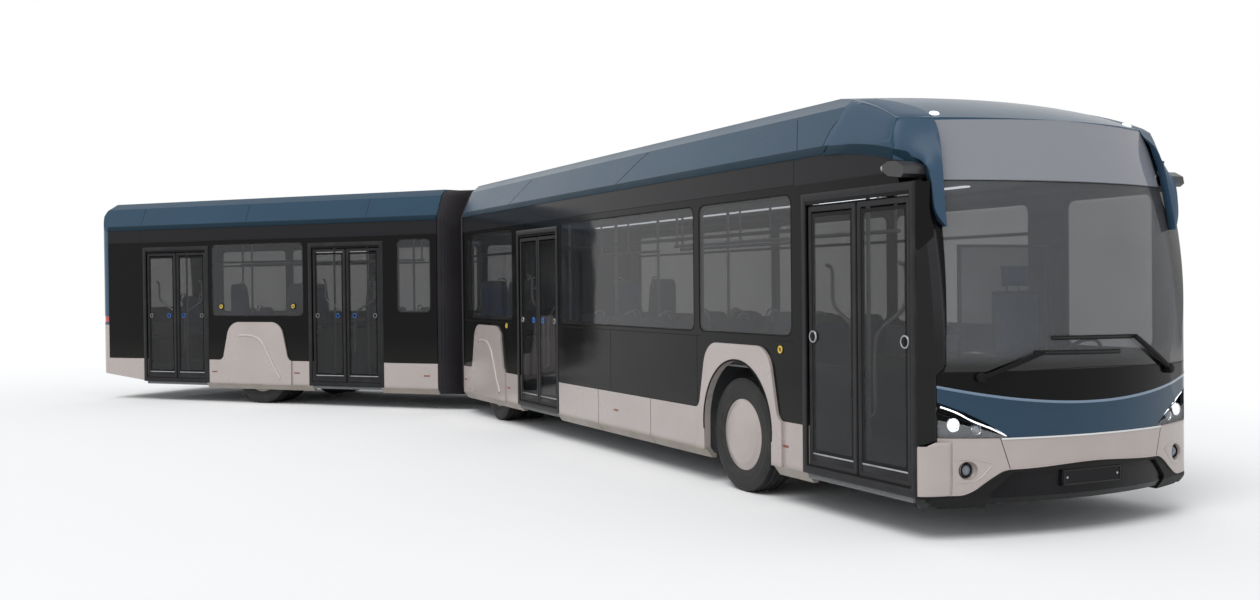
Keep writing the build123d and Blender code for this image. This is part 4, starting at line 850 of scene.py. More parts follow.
cowl_finish = finish("cowl_metallic", painted_sheen_cowl_paint)
for hand, side in (("right", -1), ("left", 1)):
    outer, inner = [fair([pair[end] for pair in COWL], BITS) for end in (0, 1)]
    last, grid = len(outer) - 1, []
    for step in range(last + 1):
        free = min(1.0, max(0.0, (step - FREE + 6) / 12))
        free = free * free * (3 - 2 * free)
        row = [outer[step].lerp(inner[step], part / ACROSS) for part in range(ACROSS + 1)]
        swell = [0.018 * sin(pi * part / ACROSS) * (1 - (step / last) ** 6) for part in range(ACROSS + 1)]
        grid.append([on_shell(point, side, 0.002).lerp(point + out_of(point) * rise, free)
                     for point, rise in zip(row, swell)])
    for turn in range(15):
        for _ in range(6):
            grid = [[point if step in (0, last) or part in (0, ACROSS) else
                     point * 0.4 + (grid[step - 1][part] + grid[step + 1][part] + row[part - 1] +
                                    row[part + 1]) * 0.15 for part, point in enumerate(row)]
                    for step, row in enumerate(grid)]
        for row in grid[1:FREE + 8] if turn < 14 else ():
            for part, point in enumerate(row):
                floor = on_shell(point, side, 0.001 + 0.014 * sin(pi * part / ACROSS) ** 0.7)
                if (point - floor).dot(out_of(point)) < 0:
                    row[part] = floor
    rows = []
    for step, row in enumerate(grid):
        free = min(1.0, max(0.0, (step - FREE) / 8))
        turned = [row[end] + Vector((-1, -0.25, 0)) * (0.004 + (0.062 if end == 0 else 0.05) * free)
                  for end in (0, -1)]
        rows.append([Vector((point.x, side * point.y, point.z)) for point in [turned[0], *row, turned[1]]])
    rows.insert(0, [point - Vector((-0.004, side * 0.006, 0.004)) for point in rows[0]])
    Form().grid(rows).done(f"cowl_blade_{hand}", cowl_finish, "front", "petrol_paint", thick=0.003, sharp=50)


# ---- headlamps, fog lamps and roof lamps -------------------------------------------------------
# A clear moulded cover over a black tray with a lit upper edge, a bright main lamp and a ringed
# projector. The fog lamps sit in round wells in the bumper.
lamp_cover = worn("clear_lamp_cover", (5, 4, 0.4, 0.8), {
    "Base Color": ((0.75, 0.77, 0.80), (0.68, 0.70, 0.72)), "Roughness": (0.03, 0.03), "Alpha": (0.10, 0.04)},
    (3, 2, 0.0005))
lit = worn("lit_lamp", 160, {
    "Base Color": ((0.9, 0.93, 0.96), (0.75, 0.80, 0.85)), "Roughness": (0.2, 0.1),
    "Emission Color": ((1.0, 1.0, 1.0), (0.82, 0.9, 1.0)), "Emission Strength": 1.4}, 0.0003)
bright = worn("lamp_chrome", (30, 3, 0.4, 0.8), {
    "Base Color": ((0.72, 0.73, 0.75), (0.58, 0.59, 0.61)), "Metallic": 1.0, "Roughness": (0.08, 0.12)},
    (12, 2, 0.0002))
lens = worn("lamp_lens", (60, 3, 0.4, 0.8), {
    "Base Color": ((0.10, 0.12, 0.15), (0.20, 0.23, 0.27)), "Roughness": (0.04, 0.08), "Coat Weight": 1.0},
    (9, 2, 0.0003))
LAMP_Y, LAMP_STEPS = (0.672, 1.147), 24
LAMP_TOP = [(0.672, 0.700), (0.760, 0.750), (0.850, 0.805), (0.980, 0.872), (1.147, 0.938)]


def top_of_lamp(y):
    for (ya, za), (yb, zb) in zip(LAMP_TOP, LAMP_TOP[1:]):
        if y <= yb:
            return za + (zb - za) * (y - ya) / (yb - ya)
    return LAMP_TOP[-1][1]


lamp_skin = Skin("front", "headlamps")
for hand, side in (("right", -1), ("left", 1)):
    columns = []
    for step in range(LAMP_STEPS + 1):
        y = LAMP_Y[0] + step * (LAMP_Y[1] - LAMP_Y[0]) / LAMP_STEPS
        low, high = 0.6925 + (y - 0.66) * 0.0204, top_of_lamp(y)
        starts = [(AHEAD_X, side * y, low + (high - low) * part / 6) for part in range(7)]
        columns.append(lamp_skin.lay(starts, (-1, 0, 0), 1.6))
    form = Form().grid([[point - normal * 0.001 for point, normal in column] for column in columns])
    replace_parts(form.done(f"headlamp_{hand}_cover", lamp_cover, "front", "lamp", thick=0.003), "headlamps")
    edge = [column[0] for column in columns] + columns[-1][1:-1] + \
        [column[-1] for column in columns[::-1]] + columns[0][-2:0:-1]
    form = Form().grid([[point - normal * depth for point, normal in edge] for depth in (0.004, 0.036)], loop=True)
    form.grid([[point - normal * 0.036 for point, normal in column] for column in columns])
    for level in (2, 4):
        form.tube([column[level][0] - column[level][1] * 0.033 for column in columns[3:]], 0.004, 6)
    form.done(f"headlamp_{hand}_tray", gloss_grey, "front", "black_plastic", thick=0.002)
    line = [column[-1][0].lerp(column[0][0], 0.10) - column[-1][1] * 0.012 for column in columns[1:-1]]
    for _ in range(12):
        line[1:-1] = [(before + here * 2 + there) / 4 for before, here, there in zip(line, line[1:], line[2:])]
    Form().tube(fair(line[::2] + line[-1:], 0.01), 0.0055).done(f"headlamp_{hand}_light_line", lit, "front", "lamp")
    for kind, y, z, radius in (("main", 1.047, 0.784, 0.046), ("projector", 0.899, 0.752, 0.036)):
        point, normal = lamp_skin.lay([(AHEAD_X, side * y, z)], (-1, 0, 0), 1.6)[0]
        facing = (normal + Vector((1, 0, 0)) * 1.5).normalized()
        centre = point - normal * 0.030
        for piece, paint, outline in (
                ("ring", bright, [(1, -0.012), (1.08, 0.008), (1.0, 0.014), (0.86, 0.008), (0.80, -0.004)]),
                ("lens", lit if kind == "main" else lens,
                 [(0.82, -0.006), (0.78, 0.002), (0.62, 0.012), (0.34, 0.019), (0.0, 0.021)])):
            Form().lathe([(radius * share, along) for share, along in outline], centre, facing, 40).done(
                f"headlamp_{hand}_{kind}_{piece}", paint, "front", "lamp")
    # fog lamp in its well, with the moulded ridge of its pocket
    for piece, paint, slot, outline in (
            ("well", skirt_finish, "beige_paint",
             [(0.0615, 0.012), (0.056, 0.0), (0.050, -0.012), (0.049, -0.050), (0.0, -0.052)]),
            ("ring", gloss_grey, "lamp",
             [(0.046, -0.012), (0.046, 0.0), (0.041, 0.004), (0.037, 0.0), (0.0365, -0.006)]),
            ("lens", lens, "lamp", [(0.038, -0.008), (0.034, -0.002), (0.020, 0.004), (0.0, 0.006)])):
        Form().lathe(outline, (2.490, side * 0.960, 0.482), (1, 0, 0), 48).done(
            f"fog_lamp_{hand}_{piece}", paint, "front", slot)
    pocket = [(side * y, z) for y, z in ((1.045, 0.552), (0.93, 0.560), (0.800, 0.528), (0.800, 0.515),
                                         (0.860, 0.450), (0.915, 0.408), (1.045, 0.402))]
    Form().strip(on_nose(pocket, 0.0, 0.02, False), 0.009, 0.003).done(
        f"fog_lamp_{hand}_pocket", skirt_finish, "front", "beige_paint")
    Form().lathe([(0.034, -0.004), (0.034, 0.004), (0.028, 0.010), (0.014, 0.014), (0.0, 0.015)],
                 *on_nose([(side * 0.91, 2.905), (side * 0.909, 2.905)])[0], 32).done(
        f"roof_lamp_{hand}", lit, "front", "lamp")

# Blank registration plate's frame on its box, held by two screws
PLATE_X, PLATE_Z, PLATE_HALF = 2.6522, 0.4015, (0.262, 0.0525)
rows = [[(out, sy * (PLATE_HALF[0] - inward), PLATE_Z + sz * (PLATE_HALF[1] - inward)) for sy, sz in
         ((1, 1), (-1, 1), (-1, -1), (1, -1))] for inward, out in
        ((0, PLATE_X), (0, 2.6560), (0.006, 2.6575), (0.010, 2.6545), (0.010, PLATE_X))]
Form().grid(rows + rows[:1], loop=True).done("plate_frame", plastic, "front", "black_plastic")
form = Form()
for y in (-0.23, 0.23):
    form.lathe([(0.0, 0.0044), (0.006, 0.0040), (0.0085, 0.0018), (0.0085, 0.0)], (PLATE_X, y, PLATE_Z), (1, 0, 0), 20)
form.done("plate_screws", metal, "front", "steel")


# ---- camera arms, markers and reflectors -------------------------------------------------------
# Camera pods on short arms stand in for mirrors. Amber side markers sit in ringed round housings on
# small black bases, and slim amber reflectors are bonded along the skirts.
reflex = worn("reflex_lens", 220, {
    "Base Color": ((0.30, 0.085, 0.035), (0.20, 0.045, 0.020)), "Roughness": (0.2, 0.1)}, 0.0003)
dark_amber = worn("marker_lens", 260, {
    "Base Color": ((0.10, 0.045, 0.008), (0.05, 0.020, 0.004)), "Roughness": (0.12, 0.1)}, 0.0003)
yellow = worn("marker_ring_yellow", (80, 3, 0.35, 0.8), {
    "Base Color": ((0.78, 0.55, 0.04), (0.66, 0.44, 0.03)), "Roughness": (0.2, 0.15), "Coat Weight": 0.6},
    (400, 1, 0.0002))
dress(worn("camera_pod_plastic", (14, 4, 0.35, 0.8), {
    "Base Color": ((0.030, 0.030, 0.032), (0.042, 0.042, 0.044)), "Roughness": (0.32, 0.15)},
    (600, 1, 0.0002)), "camera_arms")
rings, eyes = Form(), Form()
for side in BOTH:
    for across, z, radius in ((1.284, 2.520, 0.024), (1.256, 2.482, 0.014)):
        centre = (2.067, side * across, z)
        rings.lathe([(radius, 0.0), (radius * 1.05, -0.022), (radius * 0.9, -0.030), (radius * 0.7, -0.026)],
                    centre, (1, 0, 0), 28)
        eyes.lathe([(radius * 0.72, -0.024), (radius * 0.5, -0.029), (0.0, -0.031)], centre, (1, 0, 0), 28)
rings.done("camera_rings", metal, "front", "steel")
eyes.done("camera_lenses", lens, "front", "lamp")
# section, x, z of the side markers and how far out they stand; section, x, z of the reflectors
MARKERS = [("front", 0.70, 1.222, 1.2750), ("front", -5.64, 1.250, 1.2750),
           ("trailer", -4.655, 1.477, 1.2812), ("trailer", -3.29, 1.477, 1.2812)]
REFLECTORS = [("front", -2.41, 0.478), ("front", -5.593, 0.478), ("front", -7.32, 0.478), ("front", 0.75, 0.469),
              ("trailer", -4.81, 0.476), ("trailer", -3.245, 0.483), ("trailer", -0.97, 0.484)]
for section in SECTION:
    ring, lamps, bases, plates = Form(), Form(), Form(), Form()
    for x, z, foot in of(section, MARKERS):
        for side in BOTH:
            for form, outline in (
                    (ring, [(0.017, 0.004), (0.018, 0.010), (0.024, 0.013), (0.030, 0.010), (0.031, 0.0)]),
                    (bases, [(0.030, 0.002), (0.037, 0.006), (0.040, 0.003), (0.041, -0.004)]),
                    (lamps, [(0.018, 0.004), (0.012, 0.008), (0.0, 0.009)])):
                form.lathe(outline, (x, side * foot, z), (0, side, 0), 36)
    for x, z in of(section, REFLECTORS):
        for side in BOTH:
            out = abs(skin[section].lay([(x, side * CLEAR_Y, z)], (0, -side, 0))[0][0].y)
            plates.box((x - 0.050, side * (out - 0.002), z - 0.009), (x + 0.050, side * (out + 0.004), z + 0.009),
                       0.002)
    ring.done(f"marker_rings_{section}", yellow, section, "amber_lamp")
    bases.done(f"marker_bases_{section}", plastic, section, "black_plastic")
    plates.done(f"reflectors_{section}", reflex, section, "amber_lamp")
    lamps = lamps.done(f"marker_lenses_{section}", dark_amber, section, "amber_lamp")
    if section == "front":
        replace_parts(lamps, "marker_lamps")


# ---- panels round the wheels -------------------------------------------------------------------
# Each bell-shaped panel has a pressed crease that follows the wheel, with a lighter strip on its crest as a
# painted highlight, and the front openings are lined with a black rubber edge.
ARCH_X, ARCH_Z, ARCH_R = 0.03, 0.55, 0.556
form = Form()
for side in BOTH:
    starts = [(ARCH_X + ARCH_R * cos(turn), side * CLEAR_Y, ARCH_Z + ARCH_R * sin(turn))
              for turn in [pi * (-0.12 + 1.24 * part / 60) for part in range(61)]]
    form.strip(skin["front"].lay(starts, (0, -side, 0), 0.7), 0.016, 0.004)
form.done("arch_edges_front", sealant, "front", "black_plastic")
# The lighter champagne along each crease's crest is a painted highlight.
crest_highlight_finish = worn("crest_painted_highlight", (1.7, 4, 0.35, 0.8), {
    "Base Color": ((0.60, 0.545, 0.525), (0.56, 0.505, 0.485)), "Metallic": 0.12, "Roughness": (0.27, 0.1),
    "Coat Weight": 0.5, "Coat Roughness": 0.08}, (700, 1, 0.0001))
# Crease of a panel over twin wheels: (x from its middle, z)
CREASE = [(-0.300, 1.040), (-0.153, 1.044), (0.013, 1.015), (0.153, 0.914), (0.254, 0.746), (0.358, 0.559),
          (0.472, 0.400)]
for section, middle, name in (("front", -6.36, "middle"), ("trailer", -4.01, "rear")):
    line = [(middle + x, z) for x, z in CREASE]
    for piece, paint, width, height in (("creases", skirt_finish, 0.045, 0.007),
                                        ("crests", crest_highlight_finish, 0.018, 0.008)):
        form = Form()
        for side in BOTH:
            form.strip(on_side(section, side, line, 0.03, True, 0.7), width, height)
        form.done(f"{name}_panel_{piece}", paint, section, "beige_paint", sharp=70)


# ---- tail --------------------------------------------------------------------------------------
# The moulded tail is petrol above and champagne below, round a black glazed middle. Lamp columns stand
# on both sides, over a bumper with a blank plate and the louvred door of the equipment bay.
def tail_paint(place):
    x, y, z = place.axes()
    east, north = SECTION["trailer"].translation.xy
    outward = abs((y - north) * cos(BEND) - (x - east) * sin(BEND))
    below = z.rise(1.191, 1.189)
    black = (z.rise(1.19, 1.192) * z.rise(2.485, 2.483)) * outward.rise(1.103, 1.101)
    film = place.noise(1.7, 5).rise(0.35, 0.8)
    blue = flaked(place, film, (0.022, 0.062, 0.115), (0.026, 0.070, 0.122), (0.045, 0.105, 0.175))
    return {"Base Color": black.tint(below.tint(blue, film.tint(*CHAMPAGNE)), (0.006, 0.006, 0.007)),
            "Roughness": 0.30 + film * 0.1 - black * 0.15, "Specular IOR Level": 0.2,
            "Coat Weight": 0.35 - black * 0.35, "Coat Roughness": 0.06, "relief": (place.noise(1.3, 2), 0.0015)}


dress(finish("tail_paint", tail_paint), "tail_panel")
amber = worn("amber_lens", 220, {
    "Base Color": ((0.80, 0.24, 0.015), (0.62, 0.15, 0.008)), "Roughness": (0.14, 0.1), "Coat Weight": 0.8}, 0.0004)
red = worn("red_lens", 150, {
    "Base Color": ((0.55, 0.012, 0.010), (0.36, 0.006, 0.006)), "Roughness": (0.12, 0.1), "Coat Weight": 0.9}, 0.0005)
dress(red, "tail_lamps")


BEHIND_X = -7.9          # behind the tail


def on_tail(points):
    """(point, normal) on the tail along a line of (y, z), seen from behind."""
    return skin["trailer"].lay(fair([(BEHIND_X, y, z) for y, z in points], 0.05, False), (1, 0, 0), 1.4)


form = Form()
for line in ([(-1.22, 1.19), (1.22, 1.19)], [(-1.1, 1.2), (-1.1, 2.48)], [(1.1, 1.2), (1.1, 2.48)],
             [(-1.1, 2.484), (1.1, 2.484)], [(-1.22, 0.70), (1.22, 0.70)], [(-0.62, 0.71), (-0.62, 1.18)],
             [(0.62, 0.71), (0.62, 1.18)], [(-0.62, 1.16), (0.62, 1.16)]):
    form.strip(on_tail(line), 0.006, 0.0002)
form.done("tail_joints", sealant, "trailer", "black_plastic")
form = Form()
for z in [0.79 + level * 0.042 for level in range(8)]:
    form.strip([(point, (normal + Vector((0, 0, -0.7))).normalized()) for point, normal in
                on_tail([(-0.50, z), (0.50, z)])], 0.026, 0.010)
form.done("equipment_bay_louvres", plastic, "trailer", "black_plastic")
# colour, y, z and radius of the round lamps
REAR_LAMPS = [("red", 1.02, 2.10, 0.048), ("amber", 1.02, 1.97, 0.048), ("red", 0.98, 1.05, 0.055),
              ("amber", 0.98, 0.92, 0.055), ("pale", 0.98, 0.79, 0.055)]


def rear_lamps(rows, outline):
    """Round pieces at the lamps of both columns; outline gives theirs for a radius."""
    form = Form()
    for side in BOTH:
        for y, z, radius in rows:
            form.lathe(outline(radius), *on_tail([(side * y, z), (side * y, z - 0.001)])[0], 36)
    return form


rear_lamps([row[1:] for row in REAR_LAMPS], lambda r: [
    (r + 0.012, -0.004), (r + 0.012, 0.006), (r + 0.004, 0.011), (r, 0.004)]).done(
    "tail_lamp_rings", plastic, "trailer", "black_plastic")
for colour, paint, slot in (("red", red, "red_lamp"), ("amber", amber, "amber_lamp"), ("pale", pale, "lamp")):
    rear_lamps(of(colour, REAR_LAMPS), lambda r: [(r, 0.0), (r * 0.96, 0.007), (r * 0.6, 0.013), (0, 0.015)]).done(
        f"tail_lenses_{colour}", paint, "trailer", slot)
face = on_tail([(0, 0.58), (0, 0.579)])[0][0].x
Form().box((face - 0.012, -0.27, 0.525), (face + 0.002, 0.27, 0.645), 0.004).done(
    "rear_plate_holder", plastic, "trailer", "black_plastic")


# ---- roof lids ---------------------------------------------------------------------------------
# Over the battery packs the roofs open in wide lids. Their joints run across and along the top, with
# flush quarter-turn locks at the corners.
LIDS = {"front": [-6.9, -5.3, -3.7, -2.1, -0.5], "trailer": [-6.6, -5.1, -3.6, -2.1]}
LID_Y, OVERHEAD = 0.96, 4.0                   # half a lid's width; above the roof


def on_roof(section, ends, step):
    """(point, normal) on a section's roof along a straight line between two (x, y)."""
    starts = fair([(x, y, OVERHEAD) for x, y in ends], step, smooth=False)
    return skin[section].lay(starts, (0, 0, -1))


for section, marks in LIDS.items():
    form, locks = Form(), Form()
    for x in marks:
        form.strip(on_roof(section, [(x, -LID_Y), (x, LID_Y)], 0.08), 0.007, 0.0002)
    for y in (-LID_Y, LID_Y):
        form.strip(on_roof(section, [(marks[0], y), (marks[-1], y)], 0.2), 0.007, 0.0015)
        for x in [mark + along for mark in marks[:-1] for along in (0.12, 1.45)]:
            locks.lathe([(0.020, -0.001), (0.020, 0.0015), (0.015, 0.0025), (0.006, 0.0012), (0.0, 0.0012)],
                        *on_roof(section, [(x, y * 0.94)], 1)[0], 20)
    form.done(f"roof_lid_joints_{section}", sealant, section, "black_plastic")
    locks.done(f"roof_lid_locks_{section}", metal, section, "steel")


# ---- ceilings, light lines and battery packs ---------------------------------------------------
# The ceiling is a pale panel with two lines of white lights. The packs over it are dull sheet boxes
# with ribbed covers, seen only through the roof's ends.
def ceiling_panel(place):
    pores = place.cells(120.0).rise(0.16, 0.12)
    stain = place.noise(1.2, 4).rise(0.4, 0.8)
    return {"Base Color": pores.tint(stain.tint((0.50, 0.50, 0.49), (0.44, 0.44, 0.43)), (0.16, 0.16, 0.16)),
            "Roughness": 0.6 + stain * 0.1, "relief": (1 - pores, 0.0004)}


dress(finish("ceiling_panel", ceiling_panel), "ceiling_front", "ceiling_rear")
dress(worn("battery_sheet", (5, 5, 0.35, 0.8), {
    "Base Color": ((0.24, 0.25, 0.26), (0.17, 0.17, 0.17)), "Metallic": 0.6, "Roughness": (0.45, 0.2)},
    (40, 3, 0.0005)), "battery_front", "battery_rear")
LINES = {"front": (-7.2, 0.7), "trailer": (-6.7, -0.9)}
LIGHT_LONG, LIGHT_GAP, LIGHT_Y = 1.25, 0.07, 0.66
for section, (first, last) in LINES.items():
    form = Form()
    count = round((last - first) / LIGHT_LONG)
    pitch = (last - first) / count
    for step in range(count):
        for y in (-LIGHT_Y, LIGHT_Y):
            form.box((first + step * pitch, y - 0.030, 2.546),
                     (first + (step + 1) * pitch - LIGHT_GAP, y + 0.030, 2.561), 0.005)
    form.done(f"ceiling_lights_{section}", lit, section, "lamp")


# ---- passenger seats ---------------------------------------------------------------------------
# Each place is a moulded shell on a pedestal, with an upholstered pad on the cushion and on the back,
# and a grab handle at its upper corner on the aisle side.
ACROSS_WAY, UP = Vector((0, 1, 0)), Vector((0, 0, 1))
FLOOR_Z, BOX_Z, STEP_Z = 0.335, 1.06, 0.54    # floor, wheel boxes and the step at the tail
SEAT_PITCH, SEAT_OUTER = 0.44, 1.21
# section, x of the back, side, height of what it stands on and of the seat over it, abreast, facing
SEATS = [("front", x, side, FLOOR_Z, 0.45, 2, 1) for side in BOTH for x in (-3.70, -2.90, -2.10, -1.30)]
SEATS += [("trailer", x, 1, FLOOR_Z, 0.45, 2, 1) for x in (-3.00, -2.20)]
for section, pair in (("front", (-6.96, -5.77)), ("trailer", (-4.61, -3.41))):
    SEATS += [(section, x, side, BOX_Z, 0.12, 1, facing) for side in (1, -1) for x, facing in zip(pair, (1, -1))]
SEATS += [("trailer", -5.75, 1, FLOOR_Z, 0.45, 2, 1)]
SEATS += [("trailer", -7.04, side, STEP_Z, 0.45, 2, 1) for side in (1, -1)]
# Side line of a shell (forward of its back, above its seat, half width)
SHELL_LINE = [(0.474, -0.046, 0.176), (0.462, -0.022, 0.192), (0.400, -0.020, 0.204), (0.280, -0.034, 0.208),
              (0.160, -0.038, 0.208), (0.100, -0.022, 0.208), (0.070, 0.030, 0.207), (0.056, 0.140, 0.205),
              (0.044, 0.300, 0.202), (0.032, 0.460, 0.196), (0.022, 0.570, 0.184), (0.014, 0.622, 0.160),
              (0.008, 0.637, 0.120)]


def seat_cloth(place):
    weave = place.wave("X", 170.0, 1.5) * place.wave("Z", 170.0, 1.5)
    fleck = place.noise(75, 2, 0.8).rise(0.56, 0.60)
    wear = place.noise(6, 4).rise(0.45, 0.8)
    return {"Base Color": fleck.tint(wear.tint((0.035, 0.090, 0.24), (0.055, 0.115, 0.27)), (0.16, 0.24, 0.42)),
            "Roughness": 0.9 - weave * 0.1, "relief": (weave, 0.0008)}


def cushion(form, centre, along, across, out, half_along, half_across, thick, parts=8):
    """A crowned pad whose sides pull in a little between its corners, with a flat back."""
    top, back = [], []
    marks = [-cos(pi * part / parts) for part in range(parts + 1)]
    for s in marks:
        top.append([])
        back.append([])
        for t in marks:
            pull_s, pull_t = 1 - 0.035 * (1 - t * t), 1 - 0.035 * (1 - s * s)
            base = centre + along * half_along * s * pull_s * (1 - 0.03 * t ** 4) + \
                across * half_across * t * pull_t * (1 - 0.03 * s ** 4)
            swell = max(0.0, (1 - s ** 6) * (1 - t ** 6)) ** 0.35
            top[-1].append(base + out * thick * (0.22 + 0.78 * swell * (1 - 0.12 * (s * s + t * t))))
            back[-1].append(base)
    form.grid(top)
    form.grid([row[::-1] for row in back])
    form.grid([rows[0] + [row[-1] for row in rows[1:]] + rows[-1][-2::-1] + [row[0] for row in rows[-2:0:-1]]
               for rows in (top, back)], loop=True)
    bmesh.ops.remove_doubles(form.mesh, verts=form.mesh.verts, dist=1e-5)


shell_finish = worn("seat_shell_plastic", (14, 5, 0.45, 0.8), {
    "Base Color": ((0.13, 0.14, 0.16), (0.18, 0.19, 0.20)), "Roughness": (0.42, 0.15)}, (420, 2, 0.0002))
cloth = finish("seat_cloth_blue", seat_cloth)
for section in SECTION:
    shells, pads, handles, feet = Form(), Form(), Form(), Form()
    for back_x, side, base, rise, abreast, facing in of(section, SEATS):
        for number in range(abreast):
            level = base + rise
            middle = side * (SEAT_OUTER - number * SEAT_PITCH - 0.215)

            def spot(u, w, v=0.0):
                return Vector((back_x + facing * u, middle + v, level + w))

            rows = []
            for u, w, half in SHELL_LINE:
                row = []
                for part in range(9):
                    v = part / 4 - 1
                    wing = abs(v) ** 3.5
                    on_back = min(1.0, max(0.0, (w + 0.02) / 0.12))
                    row.append(spot(u + 0.026 * wing * on_back, w + 0.018 * wing * (1 - on_back), v * half))
                rows.append(row)
            shells.grid(rows)
            cushion(pads, spot(0.285, -0.030), Vector((facing, 0, -0.02)), ACROSS_WAY, UP,
                    0.170, 0.182, 0.036)
            lean = Vector((-0.022 * facing, 0, 0.40)).normalized()
            cushion(pads, spot(0.052, 0.340), lean, ACROSS_WAY, Vector((facing, 0, 0.05)).normalized(),
                    0.225, 0.172, 0.034)
            inboard = -side * 0.150
            handles.tube(fair([spot(0.026, 0.520, inboard), spot(0.010, 0.590, inboard * 1.18),
                               spot(0.006, 0.650, inboard * 1.16), spot(0.008, 0.668, inboard * 0.90),
                               spot(0.010, 0.662, inboard * 0.50), spot(0.016, 0.620, inboard * 0.36)], 0.02),
                         0.0105, 8)
            feet.box(spot(0.12, -0.045, -0.075), spot(0.36, -rise + 0.001, 0.075), 0.022)
            feet.box(spot(0.08, -0.040, -0.15), spot(0.42, -0.060, 0.15), 0.008)
    made = shells.done(f"seat_shells_{section}", shell_finish, section, "seat_shell", thick=0.012, sharp=50)
    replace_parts(made, f"seats_{'front' if section == 'front' else 'rear'}")
    pads.done(f"seat_pads_{section}", cloth, section, "seat_shell", sharp=60)
    handles.done(f"seat_handles_{section}", pale, section, "rail")
    feet.done(f"seat_feet_{section}", plastic, section, "black_plastic")
dress(metal, "handrails_front", "handrails_rear")


# ---- driver's place ----------------------------------------------------------------------------
# On a low podium: a sprung seat with head restraint, a curved instrument desk, the steering wheel on
# its column, and a half-height cab door with a glazed partition behind.
def display_glow(place):
    bars = place.noise(26, 1, 0.2).rise(0.55, 0.57)
    return {"Base Color": (0.01, 0.012, 0.016), "Roughness": 0.15 + bars * 0.05,
            "Emission Color": bars.tint((0.02, 0.05, 0.09), (0.25, 0.45, 0.6)), "Emission Strength": 0.6}


DRIVER_Y, HOOD_HALF = 0.72, 0.34         # middle of seat, wheel and hood; half the hood
cab = worn("cab_plastic", (8, 5, 0.4, 0.8), {
    "Base Color": ((0.055, 0.057, 0.060), (0.085, 0.084, 0.080)), "Roughness": (0.5, 0.2)}, (700, 0.0003))
Form().box((0.952, 0.252, 0.337), (2.048, 1.198, 0.519), 0.012).done("driver_podium", cab, "front", "cab")
form, rows = Form(), []
for step in range(25):
    y = -0.248 + step * (1.188 + 0.248) / 24
    hood = 0.055 * max(0.0, 1 - ((y - DRIVER_Y) / HOOD_HALF) ** 2) ** 0.5
    sweep = 0.06 * abs((y - 0.47) / 0.72) ** 2
    rows.append([(x - (sweep if x < 2.0 and z > 0.9 else 0), y, z) for x, z in
                 [(2.178, 0.338), (2.178, 0.99), (2.160, 1.045), (2.110, 1.078), (2.040, 1.080 + hood),
                  (1.985, 1.066 + hood), (1.962, 1.030), (1.975, 0.960), (2.020, 0.900), (2.030, 0.600),
                  (2.045, 0.338)]])
form.grid(rows, loop=True, cap=True)
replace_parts(form.done("driver_desk", cab, "front", "cab", sharp=40), "driver_place")
form = Form()
for y, half in ((DRIVER_Y, 0.17), (0.30, 0.11)):
    form.box((1.958, y - half, 0.975), (1.967, y + half, 1.045), 0.003)
form.done("driver_displays", finish("display_glow", display_glow), "front", "cab")
form = Form()
wheel_centre = Vector((1.80, DRIVER_Y, 1.12))
wheel_axis, rim_way = Vector((-0.8, 0, 0.6)), Vector((0.6, 0, 0.8))
form.tube([wheel_centre + Matrix.Rotation(2 * pi * part / 48, 3, wheel_axis) @ rim_way * 0.211
           for part in range(48)], 0.0135, 10, loop=True)
for turn in (-0.42, 0.42, pi):
    spoke = Matrix.Rotation(pi / 2 + turn, 3, wheel_axis) @ rim_way
    form.tube([wheel_centre - wheel_axis * 0.02 + spoke * 0.03, wheel_centre + spoke * 0.12,
               wheel_centre + spoke * 0.205], [0.017, 0.012, 0.010], 8)
form.lathe([(0.0, 0.018), (0.045, 0.014), (0.058, 0.0), (0.050, -0.030), (0.030, -0.045)],
           wheel_centre, wheel_axis, 32)
form.tube([wheel_centre - wheel_axis * 0.03, (1.960, DRIVER_Y, 1.000), (2.02, DRIVER_Y, 0.955)],
          [0.032, 0.036, 0.05], 16)
form.done("steering_wheel", plastic, "front", "cab")
pads, shell = Form(), Form()
cushion(pads, Vector((1.390, DRIVER_Y, 0.925)), Vector((1, 0, 0.03)), ACROSS_WAY, UP, 0.225, 0.235, 0.075, 10)
for centre, size in (((1.135, DRIVER_Y, 1.315), (0.320, 0.225, 0.075, 10)),
                     ((1.108, DRIVER_Y, 1.780), (0.085, 0.130, 0.070))):
    cushion(pads, Vector(centre), Vector((-0.06, 0, 1)).normalized(), ACROSS_WAY,
            Vector((1, 0, 0.06)).normalized(), *size)
pads.done("driver_seat_pads", cloth, "front", "seat_shell", sharp=60)
shell.box((1.165, 0.495, 0.870), (1.610, 0.945, 0.925), 0.02)
shell.box((1.085, 0.500, 0.930), (1.130, 0.940, 1.660), 0.02)
for y in (0.66, 0.78):
    shell.tube([(1.105, y, 1.64), (1.098, y, 1.73)], 0.007, 8)
for level in range(5):
    z = 0.54 + level * 0.066
    shell.lathe([(0.150, 0.0), (0.178, 0.033), (0.150, 0.066)], (1.375, DRIVER_Y, z), (0, 0, 1), 28)
shell.box((1.20, 0.55, 0.520), (1.55, 0.89, 0.545), 0.008)
shell.done("driver_seat_frame", plastic, "front", "cab")
form = Form()
form.box((1.002, 0.232, 0.340), (1.948, 0.260, 1.085), 0.010)
form.box((1.06, 0.228, 0.45), (1.89, 0.233, 0.98), 0.006)
form.box((0.962, 0.252, 0.520), (0.998, 1.198, 1.060), 0.010)
for y in (0.265, 1.185):
    form.box((0.966, y - 0.013, 1.05), (0.994, y + 0.013, 2.045), 0.004)
form.box((0.966, 0.258, 2.020), (0.994, 1.192, 2.045), 0.004)
form.done("cab_panels", cab, "front", "cab")
